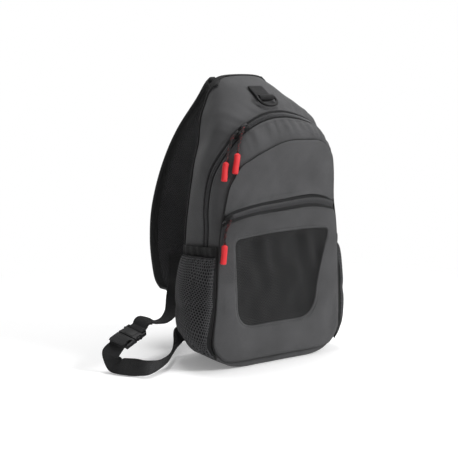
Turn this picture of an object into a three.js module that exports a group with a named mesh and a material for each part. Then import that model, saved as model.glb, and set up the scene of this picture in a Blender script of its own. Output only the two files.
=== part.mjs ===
import * as THREE from 'three';

// Fishing tackle sling bag, standing on its flat base. Millimetres, +Z up, the front towards -Y,
// the origin under the middle of the base.

// Driving sizes of the bag
const BAG_WIDTH = 215;
const BAG_HEIGHT = 409;
const SOLE = 4;
const BAG_DEPTH = 101;
const CLOTH = 2;
const GAP = 0.3;

// Back panel and the wall between the two compartments
const PAD_THICKNESS = 7.5;
const PAD_ROUNDING = 5;
const DIVIDER_THICKNESS = 1.5;

// Front pocket
const POCKET_CROWN = 5;
const POCKET_EDGE = 40;
const ARCH_FORWARD = 5;

// Zips: tape width, tape thickness and the slider
const ZIP_WIDTH = 15;
const ZIP_THICKNESS = 1.8;
const SLIDER_LENGTH = 12;
const SLIDER_WIDTH = 9;
const SLIDER_HEIGHT = 4.5;

// Pulls: a cord and a soft grip on it
const CORD_DIAMETER = 2.8;
const GRIP_DIAMETER = 8.5;

// Side pockets of net with an elastic band
const NET_THICKNESS = 1.2;
const NET_BULGE = 26;
const BAND_HEIGHT = 13.5;
const BAND_THICKNESS = 1.6;

// Webbing, its tab and the D-ring
const WEBBING_WIDTH = 25;
const WEBBING_THICKNESS = 1.6;
const TAB_LENGTH = 31;
const RING_WIRE = 4;
const RING_WIDTH = 34;
const RING_DEPTH = 21;
const RING_CLEARANCE = 0.4;

// Shoulder strap
const STRAP_WIDTH = 98;
const STRAP_THICKNESS = 12;
const BINDING_WIDTH = 12;
const BINDING_THICKNESS = 9;

// Side-release buckle
const BUCKLE_WIDTH = 33;
const BUCKLE_LENGTH = 42;
const BUCKLE_THICKNESS = 9;

const HALF_WIDTH = BAG_WIDTH / 2;
const BACK_SEAM_Y = BAG_DEPTH * 0.445;
const FRONT_SEAM_Y = BACK_SEAM_Y - BAG_DEPTH;

// Heights are shares of the bag above its sole, and the sole's underside is the floor.
const heightAt = (share) => Math.max(0, SOLE + share * (BAG_HEIGHT - SOLE));
const shareOf = (z) => (z - SOLE) / (BAG_HEIGHT - SOLE);

const vec = (x, y, z) => new THREE.Vector3(x, y, z);
const lerp = THREE.MathUtils.lerp;
const smooth = (t) => THREE.MathUtils.smoothstep(t, 0, 1);
const between = (a, b, t) => new THREE.Vector3().lerpVectors(a, b, t);

const cloth = (color, roughness = 0.9) => new THREE.MeshStandardMaterial({ color, roughness, metalness: 0 });
const GREY_CLOTH = cloth(0x5a5a5c);
const DARK_CLOTH = cloth(0x404042);
const BLACK_CLOTH = cloth(0x1a1a1b);
const BLACK_NET = cloth(0x202021);
const BLACK_PLASTIC = cloth(0x151516, 0.45);
const RED_RUBBER = cloth(0xe2373c, 0.5);

const model = new THREE.Group();

// Adds one closed body from its points and triangles, with its faces turned outwards.
function addBody(name, points, triangles, material) {
  let volume = 0;
  for (const [a, b, c] of triangles) {
    volume += points[a].dot(new THREE.Vector3().crossVectors(points[b], points[c]));
  }
  const turned = volume < 0 ? triangles.map(([a, b, c]) => [a, c, b]) : triangles;
  const geometry = new THREE.BufferGeometry();
  geometry.setAttribute('position', new THREE.Float32BufferAttribute(points.flatMap((p) => p.toArray()), 3));
  geometry.setIndex(turned.flat());
  const mesh = new THREE.Mesh(geometry, material);
  mesh.name = name;
  model.add(mesh);
  return mesh;
}

// Normals of a grid of points, averaged over the cells round each point.
function gridNormals(grid, closed) {
  const rows = grid.length;
  const columns = grid[0].length;
  const normals = grid.map((row) => row.map(() => vec(0, 0, 0)));
  const cellRows = closed ? rows : rows - 1;
  for (let i = 0; i < cellRows; i += 1) {
    const next = (i + 1) % rows;
    for (let j = 0; j < columns - 1; j += 1) {
      const diagonal = grid[next][j + 1].clone().sub(grid[i][j]);
      const other = grid[i][j + 1].clone().sub(grid[next][j]);
      const normal = diagonal.cross(other).normalize();
      for (const [r, c] of [[i, j], [next, j], [next, j + 1], [i, j + 1]]) normals[r][c].add(normal);
    }
  }
  return normals.map((row) => row.map((n) => n.normalize()));
}

// A wall over a grid of points: one layer at 'front' along the direction of each point and one at 'back',
// with rims where a cell is missing or the grid ends.
function addWall(name, grid, directions, front, back, material, closed = false, keep = () => true) {
  const rows = grid.length;
  const columns = grid[0].length;
  const offset = (value, i, j) => (typeof value === 'function' ? value(i, j) : value);
  const kept = (i, j) => {
    if (j < 0 || j >= columns - 1) return false;
    if (!closed && (i < 0 || i >= rows - 1)) return false;
    return keep((i + rows) % rows, j);
  };
  const points = [];
  const index = new Map();
  const corner = (i, j, layer) => {
    const r = i % rows;
    const key = `${r} ${j} ${layer}`;
    if (!index.has(key)) {
      index.set(key, points.length);
      const shift = offset(layer === 0 ? front : back, r, j);
      points.push(grid[r][j].clone().addScaledVector(directions[r][j], shift));
    }
    return index.get(key);
  };
  const triangles = [];
  const quad = (a, b, c, d) => triangles.push([a, b, c], [a, c, d]);
  for (let i = 0; i < (closed ? rows : rows - 1); i += 1) {
    for (let j = 0; j < columns - 1; j += 1) {
      if (!kept(i, j)) continue;
      const ring = [[i, j], [i + 1, j], [i + 1, j + 1], [i, j + 1]];
      const over = ring.map(([r, c]) => corner(r, c, 0));
      const under = ring.map(([r, c]) => corner(r, c, 1));
      quad(...over);
      quad(under[3], under[2], under[1], under[0]);
      const neighbours = [[i, j - 1], [i + 1, j], [i, j + 1], [i - 1, j]];
      neighbours.forEach(([r, c], side) => {
        if (kept(r, c)) return;
        const next = (side + 1) % 4;
        quad(over[next], over[side], under[side], under[next]);
      });
    }
  }
  return addBody(name, points, triangles, material);
}

// A plate over a closed loop that is seen whole from its centre, moved by 'shift' for its second face.
function addPlate(name, loops, centres, material) {
  const count = loops[0].length;
  const points = [...loops.flat(), ...centres];
  const triangles = [];
  const first = points.length - 2;
  const last = loops.length - 1;
  for (let i = 0; i < count; i += 1) {
    const next = (i + 1) % count;
    triangles.push([first, i, next]);
    triangles.push([first + 1, last * count + next, last * count + i]);
    for (let k = 0; k < last; k += 1) {
      const a = k * count + i;
      const b = k * count + next;
      triangles.push([a, a + count, b + count], [a, b + count, b]);
    }
  }
  return addBody(name, points, triangles, material);
}

// Moves each point of a flat loop in X and Z towards its inside.
function insetLoop(loop, distance) {
  const area = loop.reduce((sum, p, i) => {
    const q = loop[(i + 1) % loop.length];
    return sum + p.x * q.z - q.x * p.z;
  }, 0);
  const sign = area > 0 ? 1 : -1;
  return loop.map((p, i) => {
    const before = loop[(i + loop.length - 1) % loop.length];
    const after = loop[(i + 1) % loop.length];
    const along = vec(after.x - before.x, 0, after.z - before.z).normalize();
    return vec(p.x - along.z * sign * distance, p.y, p.z + along.x * sign * distance);
  });
}

// The seams of the bag. Each row is one station round the bag, from the middle of the base up the
// left side, over the top and down the right side. Columns: x as a share of half the width and z as a share
// of the height, of the back seam, of the zip line and of the front seam; then how square the section
// is (1 on the base, 0 on a plain slope), how far it is puffed out as a share of the depth, and at what
// share of the way from the back seam to the zip line it is fullest.
const SEAM_COLUMNS = ['backX', 'backZ', 'zipX', 'zipZ', 'frontX', 'frontZ', 'square', 'puff', 'peak'];
const SEAM_ROWS = [
  [0.0, -0.01, 0.0, -0.01, 0.0, 0.0148, 1, 0, 0.5],
  [-0.28, -0.01, -0.3, -0.01, -0.3, 0.0148, 1, 0, 0.5],
  [-0.48, -0.01, -0.56, -0.01, -0.6, 0.0148, 1, 0, 0.5],
  [-0.64, 0.012, -0.78, 0.0, -0.853, 0.022, 0.9, 0, 0.5],
  [-0.76, 0.048, -0.925, 0.027, -0.963, 0.042, 0.8, 0, 0.5],
  [-0.845, 0.084, -1.02, 0.067, -1.04, 0.073, 0.6, 0.005, 0.5],
  [-0.875, 0.124, -1.045, 0.109, -1.06, 0.106, 0.4, 0.01, 0.5],
  [-0.878, 0.205, -1.015, 0.198, -1.023, 0.19, 0.2, 0.02, 0.5],
  [-0.879, 0.3, -0.985, 0.296, -0.995, 0.277, 0.2, 0.02, 0.5],
  [-0.88, 0.388, -0.97, 0.39, -0.977, 0.39, 0.2, 0.02, 0.5],
  [-0.86, 0.477, -0.961, 0.479, -0.944, 0.474, 0.1, 0.02, 0.5],
  [-0.814, 0.56, -0.975, 0.551, -0.889, 0.541, 0, 0.03, 0.5],
  [-0.761, 0.654, -0.955, 0.635, -0.819, 0.62, 0, 0.05, 0.55],
  [-0.707, 0.716, -0.89, 0.697, -0.744, 0.659, 0, 0.08, 0.65],
  [-0.66, 0.764, -0.7, 0.77, -0.651, 0.696, 0, 0.12, 0.7],
  [-0.638, 0.82, -0.52, 0.817, -0.484, 0.721, 0, 0.16, 0.65],
  [-0.614, 0.86, -0.39, 0.838, -0.355, 0.738, 0, 0.17, 0.55],
  [-0.55, 0.904, -0.27, 0.853, -0.24, 0.75, 0, 0.15, 0.42],
  [-0.484, 0.948, -0.17, 0.862, -0.15, 0.76, 0, 0.1, 0.3],
  [-0.42, 0.98, -0.085, 0.867, -0.065, 0.768, 0, 0.05, 0.3],
  [-0.28, 0.996, -0.02, 0.87, 0.0, 0.773, 0, 0.03, 0.4],
  [0.0, 1.0, 0.075, 0.871, 0.13, 0.779, 0, 0.03, 0.5],
  [0.28, 0.996, 0.167, 0.871, 0.24, 0.78, 0, 0.03, 0.4],
  [0.42, 0.98, 0.26, 0.867, 0.345, 0.779, 0, 0.05, 0.3],
  [0.484, 0.948, 0.372, 0.862, 0.447, 0.778, 0, 0.1, 0.3],
  [0.55, 0.904, 0.502, 0.853, 0.54, 0.778, 0, 0.16, 0.42],
  [0.614, 0.86, 0.633, 0.84, 0.623, 0.773, 0, 0.18, 0.6],
  [0.645, 0.82, 0.781, 0.815, 0.707, 0.762, 0, 0.18, 0.7],
  [0.67, 0.764, 0.884, 0.77, 0.791, 0.738, 0, 0.13, 0.7],
  [0.707, 0.716, 0.94, 0.721, 0.847, 0.709, 0, 0.09, 0.65],
  [0.763, 0.654, 0.967, 0.647, 0.882, 0.654, 0, 0.05, 0.55],
  [0.814, 0.56, 0.977, 0.551, 0.902, 0.563, 0, 0.03, 0.5],
  [0.86, 0.477, 0.977, 0.479, 0.949, 0.479, 0.1, 0.02, 0.5],
  [0.88, 0.388, 0.98, 0.39, 0.977, 0.39, 0.2, 0.02, 0.5],
  [0.879, 0.3, 0.985, 0.296, 0.995, 0.277, 0.2, 0.02, 0.5],
  [0.878, 0.205, 1.0, 0.198, 1.01, 0.19, 0.2, 0.02, 0.5],
  [0.875, 0.124, 1.01, 0.109, 1.015, 0.106, 0.4, 0.01, 0.5],
  [0.845, 0.084, 0.985, 0.067, 0.995, 0.073, 0.6, 0.005, 0.5],
  [0.76, 0.048, 0.9, 0.027, 0.92, 0.042, 0.8, 0, 0.5],
  [0.64, 0.012, 0.76, 0.0, 0.81, 0.022, 0.9, 0, 0.5],
  [0.48, -0.01, 0.54, -0.01, 0.56, 0.0148, 1, 0, 0.5],
  [0.28, -0.01, 0.3, -0.01, 0.3, 0.0148, 1, 0, 0.5],
];
const ZIP_FIRST_ROW = 9;
const ZIP_LAST_ROW = 33;

// How far forward the zip line and the front seam lie at a height above the base.
const zipY = (z) => BACK_SEAM_Y - BAG_DEPTH * lerp(0.673, 0.861, smooth((shareOf(z) - 0.55) / 0.3));
const frontSeamY = (z) => FRONT_SEAM_Y - ARCH_FORWARD * smooth((shareOf(z) - 0.57) / 0.2);

const stations = SEAM_ROWS.map((values) => {
  const row = Object.fromEntries(SEAM_COLUMNS.map((name, i) => [name, values[i]]));
  const zipZ = heightAt(row.zipZ);
  const frontZ = heightAt(row.frontZ);
  return {
    square: row.square,
    puff: row.puff * BAG_DEPTH,
    peak: row.peak,
    back: vec(row.backX * HALF_WIDTH, BACK_SEAM_Y, heightAt(row.backZ)),
    zip: vec(row.zipX * HALF_WIDTH, zipY(zipZ), zipZ),
    front: vec(row.frontX * HALF_WIDTH, frontSeamY(frontZ), frontZ),
  };
});
const at = (i) => stations[(i + stations.length) % stations.length];

// One section of the gusset from a seam to the zip line: a slope that turns boxy with 'square' and is
// fullest at 'peak'.
const EASE_END = 0.14;
function fullness(share, peak) {
  return share < peak
    ? Math.sin(Math.PI / 2 * share / peak)
    : Math.cos(Math.PI / 2 * (share - peak) / (1 - peak));
}
function sectionPoint(from, to, share, square, puff, peak, normal) {
  const boxed = Math.sqrt(1 - (1 - Math.min(share / EASE_END, 1)) ** 2);
  const ease = lerp(share, boxed, square);
  const point = vec(lerp(from.x, to.x, ease), lerp(from.y, to.y, share), lerp(from.z, to.z, ease));
  return point.addScaledVector(normal, puff * fullness(share, peak));
}
function chordNormal(i, from, to) {
  const along = at(i + 1)[from].clone().add(at(i + 1)[to]).sub(at(i - 1)[from]).sub(at(i - 1)[to]);
  const chord = at(i)[to].clone().sub(at(i)[from]);
  return chord.cross(along).normalize();
}

const BACK_SHARES = [0, 0.04, 0.14, 0.3, 0.5, 0.7, 0.85];
const FRONT_SHARES = [0.7, 0.35, 0.12, 0.04, 0];
const halfZip = ZIP_WIDTH / 2;
const FRONT_PUFF = BAG_DEPTH * 0.03;
const gusset = stations.map((station, i) => {
  const backNormal = chordNormal(i, 'back', 'zip');
  const frontNormal = chordNormal(i, 'zip', 'front');
  const backChord = station.back.clone().sub(station.zip).normalize();
  const frontChord = station.front.clone().sub(station.zip).normalize();
  const behind = station.zip.clone().addScaledVector(backChord, halfZip);
  const ahead = station.zip.clone().addScaledVector(frontChord, halfZip);
  const { square, puff, peak } = station;
  const frontPuff = Math.min(puff, FRONT_PUFF);
  if (square > 0.5) {
    behind.x = lerp(behind.x, station.zip.x, square);
    behind.z = lerp(behind.z, station.zip.z, square);
    ahead.x = lerp(ahead.x, station.zip.x, square);
    ahead.z = lerp(ahead.z, station.zip.z, square);
  }
  return [
    ...BACK_SHARES.map((share) => sectionPoint(station.back, behind, share, square, puff, peak, backNormal)),
    behind,
    ahead,
    ...FRONT_SHARES.map((share) => sectionPoint(station.front, ahead, share, square, frontPuff, 0.5, frontNormal)),
  ];
});
const BEHIND_ZIP = BACK_SHARES.length;
const inZip = (i) => i >= ZIP_FIRST_ROW && i < ZIP_LAST_ROW;

// Outward normals of the gusset.
const rawNormals = gridNormals(gusset, true);
const outSign = rawNormals[8][3].x < 0 ? 1 : -1;
const gussetNormals = rawNormals.map((row) => row.map((n, j) => {
  n.multiplyScalar(outSign);
  if (j === 0 || j === row.length - 1) n.setY(0).normalize();
  return n;
}));

addWall('body_shell', gusset, gussetNormals, 0, -CLOTH, GREY_CLOTH, true,
  (i, j) => !(j === BEHIND_ZIP && inZip(i)));

// A point on the gusset between its stations and columns, with its normal.
function gussetAt(row, column) {
  const i = Math.floor(row);
  const j = Math.min(Math.floor(column), gusset[0].length - 2);
  const mix = (table) => {
    const low = between(table[i][j], table[i][j + 1], column - j);
    const next = Math.min(i + 1, table.length - 1);
    return low.lerp(between(table[next][j], table[next][j + 1], column - j), row - i);
  };
  return { point: mix(gusset), normal: mix(gussetNormals).normalize() };
}

// Main zip: a tape in the slot of the gusset, a little higher along its line of teeth.
const zipGrid = [];
const zipOut = [];
for (let i = ZIP_FIRST_ROW; i <= ZIP_LAST_ROW; i += 1) {
  const share = GAP / ZIP_WIDTH;
  const edge = [gusset[i][BEHIND_ZIP], gusset[i][BEHIND_ZIP + 1]];
  const outs = [gussetNormals[i][BEHIND_ZIP], gussetNormals[i][BEHIND_ZIP + 1]];
  const out = outs[0].clone().add(outs[1]).normalize();
  const row = [between(...edge, share), between(...edge, 0.5), between(...edge, 1 - share)];
  const end = i === ZIP_FIRST_ROW ? 1 : i === ZIP_LAST_ROW ? -1 : 0;
  if (end !== 0) {
    const neighbour = gusset[i + end];
    const step = between(neighbour[BEHIND_ZIP], neighbour[BEHIND_ZIP + 1], 0.5).sub(row[1]).normalize();
    row.forEach((p) => p.addScaledVector(step, GAP));
  }
  zipGrid.push(row);
  zipOut.push([outs[0], out, outs[1]]);
}
addWall('main_zip', zipGrid, zipOut, 0, -ZIP_THICKNESS, BLACK_CLOTH);

// Back panel: a padded plate on the back seam.
const backLoop = stations.map((s) => s.back.clone());
const raised = (loop, y) => loop.map((p) => vec(p.x, y, p.z));
const padStart = BACK_SEAM_Y + GAP;
const padEnd = padStart + PAD_THICKNESS;
const padMiddle = vec(0, 0, BAG_HEIGHT * 0.45);
addPlate('back_panel', [
  raised(backLoop, padStart),
  raised(backLoop, padEnd - PAD_ROUNDING * 0.7),
  raised(insetLoop(backLoop, PAD_ROUNDING * 0.3), padEnd - PAD_ROUNDING * 0.25),
  raised(insetLoop(backLoop, PAD_ROUNDING), padEnd),
], [padMiddle.clone().setY(padStart), padMiddle.clone().setY(padEnd)], BLACK_CLOTH);

// Divider between the main compartment and the front pocket, seated in the front of the gusset.
const dividerColumn = gusset[0].length - 2;
const dividerReach = CLOTH + 2 * GAP;
const dividerLoop = gusset.map((row, i) => row[dividerColumn].clone()
  .addScaledVector(gussetNormals[i][dividerColumn], -dividerReach));
const shiftedY = (loop, y) => loop.map((p) => vec(p.x, p.y + y, p.z));
const dividerCentre = vec(0, FRONT_SEAM_Y + 5, BAG_HEIGHT * 0.4);
addPlate('pocket_divider', [dividerLoop, shiftedY(dividerLoop, DIVIDER_THICKNESS)],
  [dividerCentre, dividerCentre.clone().add(vec(0, DIVIDER_THICKNESS, 0))], DARK_CLOTH);

// The front of the pocket: a face with a soft edge along the front seam.
const frontLoop = stations.map((s) => s.front);
function seamDistance(x, z) {
  let best = Infinity;
  frontLoop.forEach((a, i) => {
    const b = frontLoop[(i + 1) % frontLoop.length];
    const dx = b.x - a.x;
    const dz = b.z - a.z;
    const t = THREE.MathUtils.clamp(((x - a.x) * dx + (z - a.z) * dz) / (dx * dx + dz * dz), 0, 1);
    best = Math.min(best, Math.hypot(x - a.x - dx * t, z - a.z - dz * t));
  });
  return best;
}
function faceY(x, z) {
  const t = Math.min(seamDistance(x, z) / POCKET_EDGE, 1);
  return frontSeamY(z) - CLOTH - 2 * GAP - POCKET_CROWN * (1 - (1 - t) ** 2);
}
const onFace = (x, z) => vec(x, faceY(x, z), z);
const forward = (grid) => grid.map((row) => row.map(() => vec(0, -1, 0)));

// The pocket zip crosses the face in a shallow arc. Columns: x as a share of half the width and z as a
// share of the height, of its top edge and of its bottom edge.
const POCKET_ZIP = [
  [-0.885, 0.5355, -0.915, 0.4965],
  [-0.785, 0.549, -0.795, 0.508],
  [-0.6, 0.5605, -0.6, 0.5205],
  [-0.35, 0.5695, -0.35, 0.5295],
  [-0.05, 0.576, -0.05, 0.534],
  [0.35, 0.5855, 0.35, 0.54],
  [0.55, 0.5835, 0.55, 0.5385],
  [0.71, 0.574, 0.715, 0.532],
  [0.875, 0.557, 0.895, 0.521],
];
const zipTop = POCKET_ZIP.map(([x, z]) => [x * HALF_WIDTH, heightAt(z)]);
const zipBottom = POCKET_ZIP.map(([, , x, z]) => [x * HALF_WIDTH, heightAt(z)]);

// The front seam in X and Z between two stations, with its ends where the zip meets the seam.
const seamRun = (first, last) => {
  const run = [];
  for (let i = first; i <= last; i += 1) run.push([at(i).front.x, at(i).front.z]);
  return run;
};
const along = (line, share) => {
  const lengths = line.slice(1).map(([x, z], i) => Math.hypot(x - line[i][0], z - line[i][1]));
  const total = lengths.reduce((a, b) => a + b, 0);
  let left = share * total;
  for (let i = 0; i < lengths.length; i += 1) {
    if (left <= lengths[i] || i === lengths.length - 1) {
      const t = left / lengths[i];
      return [lerp(line[i][0], line[i + 1][0], t), lerp(line[i][1], line[i + 1][1], t)];
    }
    left -= lengths[i];
  }
  return line[line.length - 1];
};
const seamAtHeight = (first, last, z) => {
  for (let i = first; i < last; i += 1) {
    const a = at(i).front;
    const b = at(i + 1).front;
    if ((a.z - z) * (b.z - z) <= 0) return [lerp(a.x, b.x, (z - a.z) / (b.z - a.z)), z];
  }
  return null;
};
const LEFT_SIDE = [6, 14];
const RIGHT_SIDE = [28, 37];
const topStart = seamAtHeight(...LEFT_SIDE, zipTop[0][1] + GAP);
const topEnd = seamAtHeight(...RIGHT_SIDE, zipTop[zipTop.length - 1][1] + GAP);
const archRows = stations.map((s, i) => i).filter((i) => i > 9 && i < 33
  && at(i).front.z > (i < 21 ? topStart[1] : topEnd[1]) + 3);
const arch = [topStart, ...seamRun(archRows[0], archRows[archRows.length - 1]), topEnd];
const UPPER_ROWS = [0, 0.3, 0.6, 0.85, 1];
const upperEdge = zipTop.map(([x, z]) => [x, z + GAP / 2]);
const upperSteps = upperEdge.map((point, i) => i).flatMap((i) => (i === 0 ? [0] : [i - 0.5, i]));
const upperGrid = UPPER_ROWS.map((q) => upperSteps.map((step) => {
  const i = Math.min(Math.floor(step), upperEdge.length - 2);
  const low = [0, 1].map((k) => lerp(upperEdge[i][k], upperEdge[i + 1][k], step - i));
  const high = along(arch, step / (upperEdge.length - 1));
  return onFace(lerp(low[0], high[0], q), lerp(low[1], high[1], q));
}));
addWall('pocket_front_upper', upperGrid, forward(upperGrid), 0, -CLOTH, GREY_CLOTH);

// Pocket zip tape, a little behind the cloth on each side of it.
const tapeGrid = [[zipTop, -GAP / 2], [zipBottom, GAP / 2]]
  .map(([edge, step]) => edge.map(([x, z]) => onFace(x, z + step)));
addWall('pocket_zip', tapeGrid, forward(tapeGrid), -0.4, -ZIP_THICKNESS, BLACK_CLOTH);

// Lower front of the pocket with the net window. The window is drawn in X and Z.
const windowShape = new THREE.Shape();
const wx = (share) => share * HALF_WIDTH;
const wz = heightAt;
windowShape.moveTo(wx(-0.735), wz(0.21));
windowShape.lineTo(wx(-0.765), wz(0.425));
windowShape.quadraticCurveTo(wx(-0.77), wz(0.45), wx(-0.69), wz(0.455));
windowShape.quadraticCurveTo(wx(0.1), wz(0.48), wx(0.74), wz(0.463));
windowShape.quadraticCurveTo(wx(0.82), wz(0.46), wx(0.8), wz(0.44));
windowShape.quadraticCurveTo(wx(0.63), wz(0.3), wx(0.6), wz(0.22));
windowShape.quadraticCurveTo(wx(0.56), wz(0.135), wx(0.25), wz(0.134));
windowShape.lineTo(wx(-0.45), wz(0.134));
windowShape.quadraticCurveTo(wx(-0.72), wz(0.134), wx(-0.735), wz(0.21));
const windowLine = windowShape.getPoints(5).slice(0, -1).map((p) => [p.x, p.y]);

// Where a ray from the middle of the window meets a closed line.
const eye = [wx(-0.04), wz(0.3)];
function rayHit(line, angle) {
  const dx = Math.cos(angle);
  const dz = Math.sin(angle);
  let far = null;
  line.forEach(([ax, az], i) => {
    const [bx, bz] = line[(i + 1) % line.length];
    const ex = bx - ax;
    const ez = bz - az;
    const det = dx * ez - dz * ex;
    if (Math.abs(det) < 1e-9) return;
    const t = ((ax - eye[0]) * ez - (az - eye[1]) * ex) / det;
    const s = ((ax - eye[0]) * dz - (az - eye[1]) * dx) / det;
    if (t > 0 && s >= -1e-9 && s <= 1 + 1e-9 && (far === null || t > far)) far = t;
  });
  return [eye[0] + dx * far, eye[1] + dz * far];
}
const lowStart = seamAtHeight(...LEFT_SIDE, zipBottom[0][1] - GAP);
const lowEnd = seamAtHeight(...RIGHT_SIDE, zipBottom[zipBottom.length - 1][1] - GAP);
const lowerEdge = zipBottom.map(([x, z]) => [x, z - GAP / 2]);
const lowRows = stations.map((s, i) => i).filter((i) => {
  if (i > 9 && i < 33) return false;
  return at(i).front.z < lowEnd[1] - 3;
});
const lowLine = [lowStart, ...lowerEdge, lowEnd];
const rightLow = lowRows.filter((i) => i >= 33).map((i) => [at(i).front.x, at(i).front.z]);
const leftLow = lowRows.filter((i) => i <= 9).map((i) => [at(i).front.x, at(i).front.z]);
lowLine.push(...rightLow, ...leftLow);
const anglesOf = (line) => line.map(([x, z]) => Math.atan2(z - eye[1], x - eye[0]));
const cornerAngles = anglesOf(lowLine);
const CLOSE_ANGLE = 0.02;
const lowAngles = anglesOf(windowLine)
  .filter((a) => cornerAngles.every((b) => Math.abs(a - b) > CLOSE_ANGLE))
  .concat(cornerAngles)
  .sort((a, b) => a - b);
const LOWER_SHARES = [0, 0.25, 0.6, 1];
const lowerGrid = lowAngles.map((angle) => {
  const [ox, oz] = rayHit(lowLine, angle);
  const [ix, iz] = rayHit(windowLine, angle);
  return LOWER_SHARES.map((t) => onFace(lerp(ox, ix, t), lerp(oz, iz, t)));
});
addWall('pocket_front_lower', lowerGrid, forward(lowerGrid), 0, -CLOTH, GREY_CLOTH, true);

const windowLoop = insetLoop(lowAngles.map((angle) => {
  const [x, z] = rayHit(windowLine, angle);
  return onFace(x, z);
}), GAP);
const netCentre = onFace(...eye);
const netShift = [0.3, 0.3 + NET_THICKNESS];
addPlate('window_net', netShift.map((y) => shiftedY(windowLoop, y)),
  netShift.map((y) => netCentre.clone().add(vec(0, y, 0))), BLACK_NET);

// Side pockets: net that bulges off the gusset, and an elastic band above it. Columns: the share up the
// net, the station row at the back seam and at the front seam for the left pocket.
const NET_ROWS = [
  { up: 0, back: 5.6, front: 4.2 },
  { up: 0.08, back: 6.0, front: 5.2 },
  { up: 0.25, back: 6.6, front: 6.3 },
  { up: 0.5, back: 7.3, front: 7.3 },
  { up: 0.75, back: 7.95, front: 8.1 },
  { up: 0.92, back: 8.5, front: 8.8 },
  { up: 1, back: 8.75, front: 9.05 },
];
const NET_COLUMNS = 10;
const lastColumn = gusset[0].length - 1;
const netColumn = (q) => lerp(1, lastColumn - 0.4, q);
const mirrorRow = (row, side) => (side < 0 ? row : stations.length - row);
const CORNER_LIFT = 1.6;
const netClearance = (up) => NET_THICKNESS + 3 * GAP + CORNER_LIFT * (1 - Math.min(up / 0.4, 1));
const netOffset = (up, q) => netClearance(up)
  + NET_BULGE * Math.max(0, Math.sin(Math.PI * up)) ** 0.4 * Math.max(0, Math.sin(Math.PI * q ** 0.8)) ** 0.8;
function sideGrid(rows, side, offset) {
  return rows.map(({ up, back, front }) => Array.from({ length: NET_COLUMNS + 1 }, (_, k) => {
    const q = k / NET_COLUMNS;
    const { point, normal } = gussetAt(mirrorRow(lerp(back, front, q), side), netColumn(q));
    return { point: point.addScaledVector(normal, offset(up, q)), normal };
  }));
}
const pointsOf = (grid) => grid.map((row) => row.map((cell) => cell.point));
const normalsOf = (grid) => grid.map((row) => row.map((cell) => cell.normal));
const rowsPerHeight = 1 / (BAG_HEIGHT * 0.087);
const netTop = NET_ROWS[NET_ROWS.length - 1];
const bandRow = (up, rise) => ({
  up,
  back: netTop.back + rise * rowsPerHeight,
  front: netTop.front + rise * rowsPerHeight,
});
const BAND_ROWS = [bandRow(0, GAP), bandRow(1, BAND_HEIGHT)];
const bandOffset = (up, q) => netClearance(1) + 3 * Math.max(0, Math.sin(Math.PI * q)) * up;
for (const [side, word] of [[-1, 'left'], [1, 'right']]) {
  const net = sideGrid(NET_ROWS, side, netOffset);
  addWall(`side_net_${word}`, pointsOf(net), normalsOf(net), 0, -NET_THICKNESS, BLACK_NET);
  const band = sideGrid(BAND_ROWS, side, bandOffset);
  addWall(`side_band_${word}`, pointsOf(band), normalsOf(band), BAND_THICKNESS - NET_THICKNESS,
    -NET_THICKNESS, BLACK_CLOTH);
}

// Smooth line through points.
const splineThrough = (points, steps) => new THREE.CatmullRomCurve3(points, false, 'catmullrom', 0.5)
  .getPoints((points.length - 1) * steps);

// Shoulder strap: its middle line, with half its width as a share of half the width at the root.
// Columns: x, y, z as shares of the bag's half width, depth and height, and the width share.
const STRAP_ROWS = [
  [0.0, 0.525, 0.984, 1.0],
  [0.0, 0.68, 0.962, 0.95],
  [-0.06, 0.87, 0.9, 0.89],
  [-0.22, 1.19, 0.775, 0.86],
  [-0.37, 1.36, 0.637, 0.85],
  [-0.49, 1.41, 0.494, 0.85],
  [-0.57, 1.32, 0.375, 0.84],
  [-0.665, 1.12, 0.277, 0.78],
  [-0.77, 0.97, 0.225, 0.62],
  [-0.84, 0.86, 0.195, 0.3],
];
const strapMiddle = STRAP_ROWS.map(([x, y, z]) => vec(x * HALF_WIDTH, y * BAG_DEPTH, heightAt(z)));
const STRAP_STEPS = 2;
strapMiddle[0].setY(padEnd + GAP);
const strapLine = splineThrough(strapMiddle, STRAP_STEPS);
const strapWidths = splineThrough(STRAP_ROWS.map((row) => vec(row[3], 0, 0)), STRAP_STEPS);
const lineTangent = (line, i) => line[Math.min(i + 1, line.length - 1)].clone()
  .sub(line[Math.max(i - 1, 0)]).normalize();
const ROOT_STEPS = 6;
const strapFrames = strapLine.map((point, i) => {
  const tangent = lineTangent(strapLine, i);
  const across = vec(1, 0, 0).addScaledVector(tangent, -tangent.x).normalize();
  across.lerp(vec(1, 0, 0), 1 - Math.min(i / ROOT_STEPS, 1)).normalize();
  const out = new THREE.Vector3().crossVectors(across, tangent).normalize();
  if (i === 0) out.set(0, 0, 1);
  return { point, across, out, half: strapWidths[i].x * STRAP_WIDTH / 2 };
});
const strapRow = (frame, offsets) => offsets.map((a) => frame.point.clone().addScaledVector(frame.across, a));
const outRow = (frame, count) => Array.from({ length: count }, () => frame.out);
const lastFrame = strapFrames.length - 1;
const coreFrames = strapFrames.slice(0, lastFrame);
const CORE_SHARES = [-1, -0.8, -0.4, 0, 0.4, 0.8, 1];
const coreHalf = (frame) => frame.half - BINDING_WIDTH - GAP / 2;
const strapCore = coreFrames.map((frame) => strapRow(frame, CORE_SHARES.map((s) => s * coreHalf(frame))));
const strapOut = coreFrames.map((frame) => outRow(frame, CORE_SHARES.length));
const corePuff = (i, j) => {
  const side = Math.abs(CORE_SHARES[j]);
  return lerp(STRAP_THICKNESS / 2, BINDING_THICKNESS / 2, side ** 4);
};
addWall('shoulder_strap', strapCore, strapOut, corePuff, (i, j) => -corePuff(i, j), BLACK_NET);

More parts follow.
